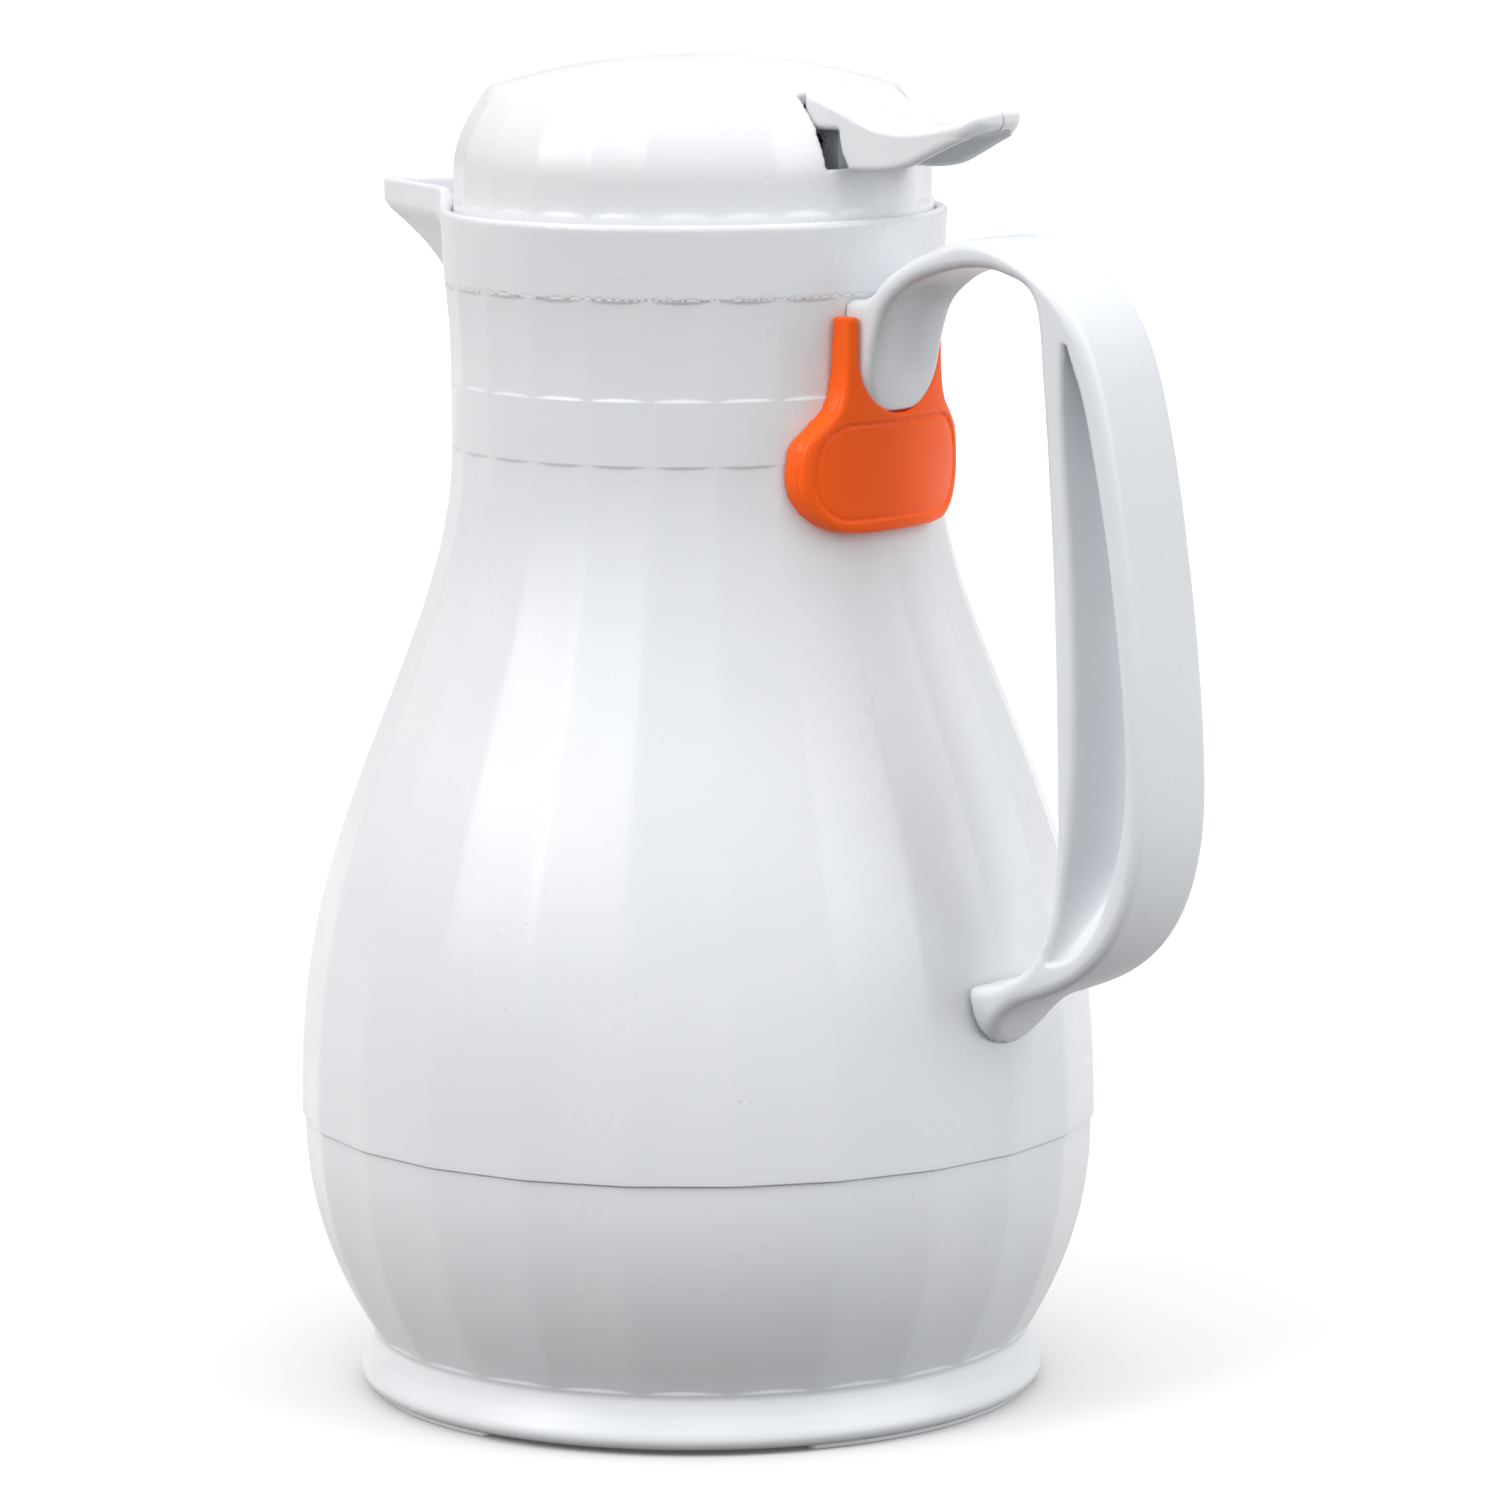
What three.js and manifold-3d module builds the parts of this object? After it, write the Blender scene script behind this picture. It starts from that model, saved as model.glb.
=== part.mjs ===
// Insulated pouring server: a faceted double-walled jug with a beak spout, a strap handle, a clip-on
// identification tag and a lift-out lid whose thumb lever raises a spring-loaded pouring valve.
// Millimetres, +Z up. The origin is the centre of the foot on the table, the handle points to +X and the
// spout to -X. Both sides mirror each other about the XZ plane.

import * as THREE from 'three';
import { mergeVertices } from 'three/addons/utils/BufferGeometryUtils.js';
import Module from 'manifold-3d';

const wasm = await Module();
wasm.setup();

// ---------------------------------------------------------------- driving dimensions
const GAP = 0.3;                 // clearance between fixed neighbours
const RUN = 0.6;                 // clearance around pieces that move
const PANELS = 24;               // flat panels round the body, with a ridge on the handle's axis
const ROUND = 30;                // facets of round pieces
const SHOULDER_STEPS = 12;       // levels down the shoulder
const LINER_STEPS = 8;

const BODY_R = 90;               // widest radius, over the ridges, at the seam
const NECK_R = 54.5;             // neck radius over the ridges
const WAIST_IN = 15.4;           // waist above the foot, inside the body's radius
const BEAD_OUT = 2.9;            // bead of the foot, proud of the waist
const WALL = 2.4;                // thickness of jacket and base shell

const PAD_H = 1.2;               // arc feet below the foot
const FOOT_H = 11.6;             // foot's bead
const BOWL_H = 49.7;             // bowl of the base shell
const SHOULDER_H = 151.5;        // sloping shoulder, seam to neck band
const BAND_H = 14;               // round band at the bottom of the neck
const NECK_H = 22.2;             // panelled neck
const COLLAR_H = 16.1;           // pouring collar
const SHOULDER_POWER = 1.24;     // moves the shoulder's steepest slope upwards
const BOWL_POWER = 2.15;         // roundness of the bowl

const LINER_DROP = 22;           // inside of the liner's belly, inside the body's radius
const MOUTH_DROP = 14.5;         // inside of the liner's mouth, inside the neck's radius
const LINER_WALL = 1.8;
const LINER_LIFT = 13.2;         // liner's floor above the foot
const FLANGE_T = 2;              // liner's flange and the seal above it
const SEAL_T = 1.6;

const RIM_OUT = 2;               // rim of the collar, proud of the neck
const COLLAR_FLARE = 0.9;        // how far the rim overhangs the collar's lower edge
const BORE_DROP = 9.5;           // collar's bore, inside the neck's radius
const SPIGOT_H = 10;             // part of the collar that sits inside the neck
const REBATE_D = 3;              // recess in the rim that takes the lid's skirt
const RIM_W = 3.1;               // rim of the collar outside the lid
const LID_TAPER = 6.8;           // how far the lid draws in to its shoulder
const LID_SKIRT_H = 12;          // lower, near-vertical part of the lid
const LID_SIDE_H = 28.7;         // rebate floor to lid shoulder
const DOME_H = 8;
const LID_WALL = 2.2;

const SPOUT_LENGTH = 35.9;       // tip of the spout beyond the rim
const SPOUT_RISE = 3.6;          // tip above the rim
const SPOUT_TIP_W = 9;
const SPOUT_ROOT_W = 60;
const SPOUT_LOW_ROUND = 5;       // how much blunter the keel is at its foot
const SPOUT_KEEL_POWER = 1.5;    // hollow of the keel's line
const SPOUT_WALL = 2;
const SPOUT_DROP = 20;           // fairing below the collar's lower edge
const SPOUT_LEVELS = 9;

const STRAP_W = 25;              // handle width
const HANDLE_OUT = 43.6;         // outer face at its furthest, beyond the body
const GRIP_OUT = 19.6;           // inner face behind the fingers, beyond the body
const ARCH_Z_ABOVE_COLLAR = 13.4;
const ARCH_T = 6.2;              // strap thickness at the top of the arch
const TONGUE_W = 21;             // pendant and lower tongue
const PENDANT_H = 25;            // pendant below the collar's lower edge
const HANDLE_FOOT_H = 37.5;      // where the strap returns to the body, above the seam
const TONGUE_DROP = 13;
const POCKET_D = 8;              // depth of the side pockets
const FLANGE_W = 4.4;            // strap flanges either side of the pockets
const UPPER_SCREW_DROP = 20.6;   // below the collar's lower edge
const LOWER_SCREW_DROP = 4;      // below the strap's foot
const SCREW_R = 2;
const SCREW_HEAD_R = 4;
const SCREW_HEAD_T = 2.4;

const TAG_T = 6.8;
const TAG_HALF_ANGLE = 25;       // of the pad, in degrees
const TAG_ARM_ANGLE = 16.6;      // outer edges of the arms
const TAG_TOP_DROP = 4.4;        // below the collar's lower edge
const TAG_H = 47.4;
const PAD_HEIGHT = 28;
const TAG_SLIDE = 6;

const STOPPER_PLAY = 1.4;        // between the plug and the liner's mouth
const STOPPER_WALL = 2.4;
const SEAT_R = 12;               // hole that the valve closes
const VALVE_LAP = 3;             // valve seal over the edge of its seat
const VALVE_T = 2.6;
const STEM_R = 3;
const STEM_HEAD_R = 7;
const HEAD_T = 2.2;
const SPRING_R = 7;
const SPRING_WIRE_R = 0.7;
const SPRING_TURNS = 5;
const PIVOT_IN = 2.6;            // lever pin inside the lid's shoulder
const PIVOT_BELOW_SHOULDER = 9;
const ARM_BELOW_PIVOT = 6.7;
const PIN_R = 1.5;
const LEVER_LENGTH = 41.4;       // tip beyond the lid's shoulder
const LEVER_ROOT_HW = 17;        // half-widths of the lever
const LEVER_MID_HW = 11.5;
const LEVER_TIP_HW = 8.4;
const LEVER_SKIN = 2.4;
const EAR_ROOM = 0.9;            // room round the ears inside the lever
const EAR_T = 2.4;               // ears that hold the lever pin
const ARM_HW = 6;                // inner arm of the lever
const ARM_T = 3.2;

const LIP_H = 4;                 // lip of the base shell inside the jacket
const PLATE_MARGIN = 4.6;        // bottom plate inside the waist
const BASE_PLATE_T = 2.4;
const PLATE_RECESS = 0.8;        // plate's underside above the foot's
const LEDGE_W = 4;               // ledge that the plate bears on
const LEDGE_T = 2;
const BASE_SCREW_IN = 20;        // screws inside the plate's edge
const BASE_SCREWS = 3;
const ARC_FEET = 3;
const ARC_FOOT_ANGLE = 60;
const ARC_FOOT_W = 3.2;
const LINER_CORNER = 16;         // rounded corner of the liner's floor
const CUSHION_T = 4;
const CUSHION_R = 30;
const DECK_T = 2.4;              // stopper's deck under the lid
const UPPER_GRIP = 3;            // how deep each handle screw bites
const LOWER_GRIP = 5;

// ---------------------------------------------------------------- radii and reaches that follow from them
const FOOT_NECK_R = BODY_R - WAIST_IN;
const FOOT_R = FOOT_NECK_R + BEAD_OUT;
const BASE_PLATE_R = FOOT_NECK_R - PLATE_MARGIN;
const BASE_SCREW_R_POS = BASE_PLATE_R - BASE_SCREW_IN;
const LINER_R = BODY_R - LINER_DROP;
const MOUTH_R = NECK_R - MOUTH_DROP;
const STOPPER_R = MOUTH_R - STOPPER_PLAY;
const VALVE_R = SEAT_R + VALVE_LAP;
const COLLAR_R = NECK_R + RIM_OUT;
const COLLAR_BORE_R = NECK_R - BORE_DROP;
const LID_R = COLLAR_R - RIM_W;
const LID_SHOULDER_R = LID_R - LID_TAPER;
const SPOUT_REACH = COLLAR_R + SPOUT_LENGTH;
const HANDLE_X = BODY_R + HANDLE_OUT;
const GRIP_X = BODY_R + GRIP_OUT;
const PIVOT_X = LID_SHOULDER_R - PIVOT_IN;
const LEVER_TIP_X = LID_SHOULDER_R + LEVER_LENGTH;

// ---------------------------------------------------------------- levels that follow from them
const FOOT_Z = PAD_H;
const BOWL_Z = FOOT_Z + FOOT_H;
const SEAM_Z = BOWL_Z + BOWL_H;
const NECK_Z = SEAM_Z + SHOULDER_H;
const BAND_Z = NECK_Z + BAND_H;
const COLLAR_Z = BAND_Z + NECK_H;
const RIM_Z = COLLAR_Z + COLLAR_H;
const REBATE_Z = RIM_Z - REBATE_D;
const SPOUT_LOW_Z = COLLAR_Z - SPOUT_DROP;
const SHOULDER_Z = REBATE_Z + LID_SIDE_H;
const TOP_Z = SHOULDER_Z + DOME_H;
const ARCH_Z = COLLAR_Z + ARCH_Z_ABOVE_COLLAR;
const PIVOT_Z = SHOULDER_Z - PIVOT_BELOW_SHOULDER;
const FLANGE_Z = COLLAR_Z - SPIGOT_H - SEAL_T - 2 * GAP - FLANGE_T;
const STOPPER_Z = FLANGE_Z - 4;
const VALVE_Z = STOPPER_Z + STOPPER_WALL + GAP;
const FLAT = Math.cos(Math.PI / PANELS);   // a panel's middle is this share of its ridge radius
const NECK_IN_R = (NECK_R - WALL) * FLAT - GAP;
const FOOT_IN_R = (FOOT_NECK_R - WALL) * FLAT - GAP;
const TAG_IN_R = NECK_R + GAP;
const TAG_OUT_R = TAG_IN_R + TAG_T;
const ARM_Z = PIVOT_Z - ARM_BELOW_PIVOT;
const LINER_FLOOR_Z = BOWL_Z + LINER_LIFT;
const HANDLE_FOOT_Z = SEAM_Z + HANDLE_FOOT_H;
const PLATE_Z = FOOT_Z + PLATE_RECESS;
const PLATE_TOP = PLATE_Z + BASE_PLATE_T;
const LEDGE_Z = PLATE_TOP + GAP;
const BASE_DISC_Z = LEDGE_Z + LEDGE_T + GAP;

// ---------------------------------------------------------------- shape helpers
const deg = (angle) => THREE.MathUtils.degToRad(angle);
const v2 = (x, y) => new THREE.Vector2(x, y);

// A closed geometry as a solid, turned right side out.
function solid(geometry) {
  const bare = geometry.index ? geometry.toNonIndexed() : geometry.clone();
  bare.deleteAttribute('normal');
  bare.deleteAttribute('uv');
  const merged = mergeVertices(bare, 1e-4);
  const place = merged.attributes.position;
  const corners = [];
  let volume = 0;
  const a = new THREE.Vector3();
  const b = new THREE.Vector3();
  const c = new THREE.Vector3();
  for (let i = 0; i < merged.index.count; i += 3) {
    const tri = [0, 1, 2].map((k) => merged.index.getX(i + k));
    if (new Set(tri).size < 3) continue;
    a.fromBufferAttribute(place, tri[0]);
    b.fromBufferAttribute(place, tri[1]);
    c.fromBufferAttribute(place, tri[2]);
    volume += a.dot(b.cross(c));
    corners.push(...tri);
  }
  if (volume < 0) corners.reverse();
  const mesh = new wasm.Mesh({
    numProp: 3,
    vertProperties: new Float32Array(place.array),
    triVerts: new Uint32Array(corners),
  });
  mesh.merge();
  return new wasm.Manifold(mesh);
}

function toGeometry(manifold) {
  const mesh = manifold.getMesh();
  const geometry = new THREE.BufferGeometry();
  geometry.setAttribute('position', new THREE.BufferAttribute(new Float32Array(mesh.vertProperties), 3));
  geometry.setIndex(new THREE.BufferAttribute(new Uint32Array(mesh.triVerts), 1));
  geometry.computeVertexNormals();
  return geometry;
}

// Solid of revolution about Z from [radius, height] pairs.
function turned(outline, segments = PANELS, closed = true) {
  const points = outline.map(([r, z]) => v2(r, z));
  if (closed) points.push(points[0].clone());
  const geometry = new THREE.LatheGeometry(points, segments);
  geometry.rotateX(Math.PI / 2);
  return solid(geometry);
}

// Cylinder about Z, or about another axis after turning.
function rod(radius, z0, z1, segments = 24) {
  const geometry = new THREE.CylinderGeometry(radius, radius, z1 - z0, segments);
  geometry.rotateX(Math.PI / 2);
  geometry.translate(0, 0, (z0 + z1) / 2);
  return solid(geometry);
}

function ring(outer, inner, z0, z1, segments = ROUND) {
  return turned([[inner, z0], [outer, z0], [outer, z1], [inner, z1]], segments);
}

function block(x0, x1, y0, y1, z0, z1) {
  const geometry = new THREE.BoxGeometry(x1 - x0, y1 - y0, z1 - z0);
  geometry.translate((x0 + x1) / 2, (y0 + y1) / 2, (z0 + z1) / 2);
  return solid(geometry);
}

// A side outline in X and Z, extruded across Y from -half to +half.
function sideSlab(shape, half, steps = 8) {
  const options = { depth: 2 * half, bevelEnabled: false, curveSegments: steps };
  const geometry = new THREE.ExtrudeGeometry(shape, options);
  geometry.rotateX(Math.PI / 2);
  geometry.translate(0, half, 0);
  return solid(geometry);
}

// A front outline in Y and Z, extruded along X from x0 to x1.
function frontSlab(shape, x0, x1, steps = 8) {
  const options = { depth: x1 - x0, bevelEnabled: false, curveSegments: steps };
  const geometry = new THREE.ExtrudeGeometry(shape, options);
  geometry.rotateX(Math.PI / 2);
  geometry.rotateZ(Math.PI / 2);
  geometry.translate(x0, 0, 0);
  return solid(geometry);
}

// A plan outline in X and Y, extruded up Z.
function planSlab(shape, z0, z1, steps = 8) {
  const options = { depth: z1 - z0, bevelEnabled: false, curveSegments: steps };
  const geometry = new THREE.ExtrudeGeometry(shape, options);
  geometry.translate(0, 0, z0);
  return solid(geometry);
}

function polygon(points) {
  return new THREE.Shape(points.map(([x, y]) => v2(x, y)));
}

// Skin over a stack of convex rings with equal point counts, closed at both ends.
function loft(rings) {
  const count = rings[0].length;
  const places = rings.flat().flatMap((p) => [p.x, p.y, p.z]);
  const faces = [];
  for (let k = 0; k < rings.length - 1; k += 1) {
    for (let i = 0; i < count; i += 1) {
      const a = k * count + i;
      const b = k * count + (i + 1) % count;
      faces.push(a, b, b + count, a, b + count, a + count);
    }
  }
  const last = (rings.length - 1) * count;
  for (let i = 1; i < count - 1; i += 1) {
    faces.push(0, i + 1, i);
    faces.push(last, last + i, last + i + 1);
  }
  const geometry = new THREE.BufferGeometry();
  geometry.setAttribute('position', new THREE.Float32BufferAttribute(places, 3));
  geometry.setIndex(faces);
  return solid(geometry);
}

// A smooth open run through a few points, as [x, z] pairs.
function smooth(points, count) {
  const curve = new THREE.SplineCurve(points.map(([x, z]) => v2(x, z)));
  return curve.getPoints(count).map((p) => [p.x, p.y]);
}

// Upright tongue outline with a half-round lower end, in Y and Z.
function tongueOutline(width, zRound, zTop) {
  const shape = new THREE.Shape();
  shape.moveTo(-width / 2, zTop);
  shape.lineTo(-width / 2, zRound);
  shape.absarc(0, zRound, width / 2, Math.PI, 2 * Math.PI, false);
  shape.lineTo(width / 2, zTop);
  shape.closePath();
  return shape;
}

// ---------------------------------------------------------------- the body's outline
function shoulderRadius(z) {
  const u = THREE.MathUtils.clamp((z - SEAM_Z) / SHOULDER_H, 0, 1);
  const share = 0.5 * (1 + Math.cos(Math.PI * u ** SHOULDER_POWER));
  return NECK_R + (BODY_R - NECK_R) * share;
}

function bowlRadius(z) {
  const u = THREE.MathUtils.clamp((z - BOWL_Z) / BOWL_H, 0, 1);
  return BODY_R - (BODY_R - FOOT_NECK_R) * (1 - u) ** BOWL_POWER;
}

function outerRadius(z) {
  return z < SEAM_Z ? bowlRadius(z) : shoulderRadius(z);
}

// [radius, z] pairs along a radius function, offset inwards by a fixed amount.
function run(radiusAt, z0, z1, count, inset = 0) {
  const out = [];
  for (let i = 0; i <= count; i += 1) {
    const z = z0 + (z1 - z0) * i / count;
    out.push([radiusAt(z) - inset, z]);
  }
  return out;
}

// Inside of the liner: round floor, straight belly, then parallel to the outer shoulder.
function linerRadius(z) {
  const above = z - LINER_FLOOR_Z;
  if (above < LINER_CORNER) {
    const t = 1 - above / LINER_CORNER;
    return LINER_R - LINER_CORNER * (1 - Math.sqrt(Math.max(0, 1 - t * t)));
  }
  const u = THREE.MathUtils.clamp((z - SEAM_Z) / SHOULDER_H, 0, 1);
  const share = 0.5 * (1 + Math.cos(Math.PI * u ** SHOULDER_POWER));
  return MOUTH_R + (BODY_R - LINER_DROP - MOUTH_R) * share;
}

const LINER_TOP_Z = FLANGE_Z + FLANGE_T;

function linerOutline(offset, zFrom, zTo) {
  const floor = [];
  for (let i = 0; i <= 4; i += 1) {
    const angle = Math.PI / 2 * i / 4;
    const r = LINER_R - LINER_CORNER + (LINER_CORNER + offset) * Math.sin(angle);
    floor.push([r, LINER_FLOOR_Z + LINER_CORNER - (LINER_CORNER + offset) * Math.cos(angle)]);
  }
  const wall = run(linerRadius, SEAM_Z, NECK_Z, LINER_STEPS, -offset);
  const neck = [[MOUTH_R + offset, zTo]];
  return [...floor, ...wall, ...neck].filter(([, z]) => z >= zFrom);
}

// ---------------------------------------------------------------- casings
function outerJacket() {
  const outer = run(shoulderRadius, SEAM_Z + GAP, NECK_Z, SHOULDER_STEPS);
  outer.push([NECK_R, BAND_Z], [NECK_R, COLLAR_Z - GAP]);
  const inner = run(shoulderRadius, SEAM_Z + GAP, NECK_Z, SHOULDER_STEPS, WALL).reverse();
  inner.unshift([NECK_R - WALL, COLLAR_Z - GAP]);
  let body = turned([...outer, ...inner]);
  for (const [x, z] of handleScrewPlaces()) body = body.subtract(screwHole(x, z, SCREW_R + GAP));
  return body;
}

function footOutline() {
  return [
    [FOOT_R - 1.6, FOOT_Z],
    [FOOT_R - 0.5, FOOT_Z + 1],
    [FOOT_R, FOOT_Z + 2.8],
    [FOOT_R - 0.7, FOOT_Z + 4.8],
    [FOOT_R - 2.2, FOOT_Z + 7],
    [FOOT_NECK_R - 0.1, FOOT_Z + 9],
  ];
}

function baseShell() {
  const lipOut = BODY_R - WALL - GAP;
  const lipIn = lipOut - WALL;
  const outer = [...footOutline(), ...run(bowlRadius, BOWL_Z, SEAM_Z, 10)];
  outer.push([lipOut, SEAM_Z], [lipOut, SEAM_Z + LIP_H], [lipIn, SEAM_Z + LIP_H], [lipIn, SEAM_Z - LIP_H]);
  const inner = run(bowlRadius, BOWL_Z, SEAM_Z - 3 * LIP_H, 8, WALL).reverse();
  const ledge = BASE_PLATE_R - LEDGE_W;
  const room = (BASE_PLATE_R + GAP) / FLAT;
  inner.push([FOOT_NECK_R - WALL, LEDGE_Z + LEDGE_T], [ledge, LEDGE_Z + LEDGE_T]);
  inner.push([ledge, LEDGE_Z], [room, LEDGE_Z], [room, FOOT_Z]);
  let shell = turned([...outer, ...inner]);
  for (let i = 0; i < ARC_FEET; i += 1) shell = shell.add(arcFoot(360 * i / ARC_FEET));
  return shell;
}

// One arc foot under the rim of the shell, with its middle at the given angle.
function arcFoot(middle) {
  const outer = FOOT_R - 2.2;
  const inner = outer - ARC_FOOT_W;
  const half = deg(ARC_FOOT_ANGLE / 2);
  const shape = new THREE.Shape();
  shape.absarc(0, 0, outer, deg(middle) - half, deg(middle) + half, false);
  shape.absarc(0, 0, inner, deg(middle) + half, deg(middle) - half, true);
  shape.closePath();
  return planSlab(shape, 0, FOOT_Z + 0.5, 12);
}

function bottomPlate() {
  const z = PLATE_Z;
  let plate = rod(BASE_PLATE_R, z, z + BASE_PLATE_T, ROUND);
  for (const [x, y] of baseScrewPlaces()) {
    plate = plate.subtract(rod(SCREW_R + GAP, z - 1, z + BASE_PLATE_T + 1, 16).translate(x, y, 0));
  }
  return plate;
}

function baseScrewPlaces() {
  const out = [];
  for (let i = 0; i < BASE_SCREWS; i += 1) {
    const angle = deg(120 + 360 * i / BASE_SCREWS);
    out.push([BASE_SCREW_R_POS * Math.cos(angle), BASE_SCREW_R_POS * Math.sin(angle)]);
  }
  return out;
}

// Stiff inner disc that the bottom plate is screwed to; it carries the foam and the liner.
function baseDisc() {
  let disc = rod(FOOT_IN_R, BASE_DISC_Z, BASE_DISC_Z + 3, ROUND);
  for (const [x, y] of baseScrewPlaces()) {
    disc = disc.add(rod(SCREW_R + 2.6, PLATE_TOP + GAP, BASE_DISC_Z + 8, 16).translate(x, y, 0));
    disc = disc.subtract(rod(SCREW_R + GAP, PLATE_TOP - 1, BASE_DISC_Z + 6, 12).translate(x, y, 0));
  }
  return disc;
}

function baseScrew(index) {
  const [x, y] = baseScrewPlaces()[index];
  const under = PLATE_Z - GAP;
  const head = rod(SCREW_HEAD_R, under - 0.9, under, 16);
  return head.add(rod(SCREW_R, under - 0.3, BASE_DISC_Z + 5, 12)).translate(x, y, 0);
}

// ---------------------------------------------------------------- inside the walls
function liner() {
  const inside = linerOutline(0, 0, LINER_TOP_Z);
  const outside = linerOutline(LINER_WALL, 0, FLANGE_Z).reverse();
  const flange = [[NECK_IN_R, LINER_TOP_Z], [NECK_IN_R, FLANGE_Z]];
  const outline = [[0, LINER_FLOOR_Z], ...inside, ...flange, ...outside, [0, LINER_FLOOR_Z - LINER_WALL]];
  return turned(outline, ROUND, false);
}

function foamBowl() {
  const floor = BASE_DISC_Z + 3 + GAP;
  const top = SEAM_Z - 3 * LIP_H - GAP;
  const outside = run(bowlRadius, BOWL_Z, top, 8, WALL + GAP);
  outside.unshift([FOOT_NECK_R - WALL - GAP, floor]);
  const lip = LINER_FLOOR_Z - LINER_WALL - GAP;
  let foam = turned([[0, floor], ...outside, [0, top]], PANELS, false).subtract(linerEnvelope());
  foam = foam.subtract(rod(CUSHION_R + GAP, lip - CUSHION_T - GAP, lip + 1, ROUND));
  for (const [x, y] of baseScrewPlaces()) {
    foam = foam.subtract(rod(SCREW_R + 3, floor - 1, BASE_DISC_Z + 8 + GAP, 16).translate(x, y, 0));
  }
  return foam;
}

// Outside of the liner plus clearance, as a plug.
function linerEnvelope() {
  const outline = linerOutline(LINER_WALL + GAP, 0, FLANGE_Z + 1);
  const low = LINER_FLOOR_Z - LINER_WALL - GAP;
  return turned([[0, low], ...outline, [0, FLANGE_Z + 1]], ROUND, false);
}

function linerCushion() {
  const top = LINER_FLOOR_Z - LINER_WALL - GAP;
  return rod(CUSHION_R, top - CUSHION_T, top, ROUND);
}

function foamSleeve() {
  const z0 = SEAM_Z + LIP_H + GAP;
  const top = FLANGE_Z - GAP;
  const outside = run(shoulderRadius, z0, NECK_Z, SHOULDER_STEPS, WALL + GAP);
  const outline = [[0, z0], ...outside, [NECK_R - WALL - GAP, top], [0, top]];
  let foam = turned(outline, PANELS, false).subtract(linerEnvelope());
  for (const [x, z] of handleScrewPlaces()) foam = foam.subtract(screwHeadRoom(x, z));
  return foam;
}

function collarSeal() {
  const z = LINER_TOP_Z + GAP;
  return ring(NECK_IN_R, MOUTH_R + 6, z, z + SEAL_T);
}

// ---------------------------------------------------------------- pouring collar and spout
// Outline of the spout at one level: a blunt wedge from inside the collar to the keel.
function spoutRing(level, inset) {
  const lift = SPOUT_RISE * level ** 2;
  const slope = lift / (SPOUT_REACH - COLLAR_BORE_R);
  const z = (x) => SPOUT_LOW_Z + (RIM_Z - SPOUT_LOW_Z) * level + slope * (-x - COLLAR_BORE_R);
  const keel = NECK_R + 1.5 + (SPOUT_REACH - NECK_R - 1.5) * level ** SPOUT_KEEL_POWER - inset;
  const tip = SPOUT_TIP_W / 2 + SPOUT_LOW_ROUND * (1 - level) - 0.6 * inset;
  const root = tip + inset * 0.3 + (SPOUT_ROOT_W / 2 - SPOUT_TIP_W / 2) * level ** 0.7 - 0.6 * inset;
  const start = COLLAR_BORE_R - 2;
  const half = [[start, root], [COLLAR_R - 8, root], [keel - 1.5, tip], [keel, tip * 0.6]];
  const outline = [...half, ...half.map(([x, y]) => [x, -y]).reverse()];
  return outline.map(([x, y]) => new THREE.Vector3(-x, y, z(-x)));
}

function spoutBlank(inset) {
  const rings = [];
  const first = inset > 0 ? 3 : 0;
  for (let i = first; i <= SPOUT_LEVELS; i += 1) rings.push(spoutRing(i / SPOUT_LEVELS, inset));
  if (inset > 0) rings.push(spoutRing(1, inset).map((p) => p.setZ(p.z + 10)));
  return loft(rings);
}

function pourCollar() {
  const low = COLLAR_R - COLLAR_FLARE;
  const spigot = NECK_IN_R;
  const outline = [
    [COLLAR_BORE_R, COLLAR_Z - SPIGOT_H], [spigot, COLLAR_Z - SPIGOT_H], [spigot, COLLAR_Z],
    [low, COLLAR_Z], [COLLAR_R, RIM_Z - 1.2], [COLLAR_R - 0.8, RIM_Z], [LID_R + RUN, RIM_Z],
    [LID_R + RUN, REBATE_Z], [COLLAR_BORE_R, REBATE_Z],
  ];
  const bore = rod(COLLAR_BORE_R, COLLAR_Z, RIM_Z + 20, ROUND);
  const lidRoom = rod(LID_R + RUN, REBATE_Z, RIM_Z + 20, ROUND);
  const neckRoom = rod(NECK_R + GAP, SPOUT_LOW_Z - 5, COLLAR_Z, PANELS * 2);
  const spout = spoutBlank(0).subtract(bore).subtract(lidRoom).subtract(neckRoom);
  return turned(outline, ROUND).add(spout).subtract(spoutBlank(SPOUT_WALL));
}

// ---------------------------------------------------------------- handle
// Lines of the strap in X and Z, from the pendant over the arch and down to the lower tongue.
function strapOuterLine() {
  const foot = HANDLE_FOOT_Z;
  const low = (z) => foot + z;
  const high = (z) => COLLAR_Z - z;
  return smooth([
    [NECK_R + 5.5, high(-0.4)],
    [NECK_R + 9, high(-4)],
    [NECK_R + 14.5, high(-7.6)],
    [NECK_R + 31, ARCH_Z],
    [HANDLE_X - 31, ARCH_Z - 4.4],
    [HANDLE_X - 18, high(2)],
    [HANDLE_X - 8.6, high(29)],
    [HANDLE_X - 3, high(61)],
    [HANDLE_X, low(50)],
    [HANDLE_X - 0.4, low(35)],
    [HANDLE_X - 3.4, low(24)],
    [HANDLE_X - 13, low(10)],
    [HANDLE_X - 23, low(3.6)],
    [BODY_R + 13, low(0)],
  ], 34);
}

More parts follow.
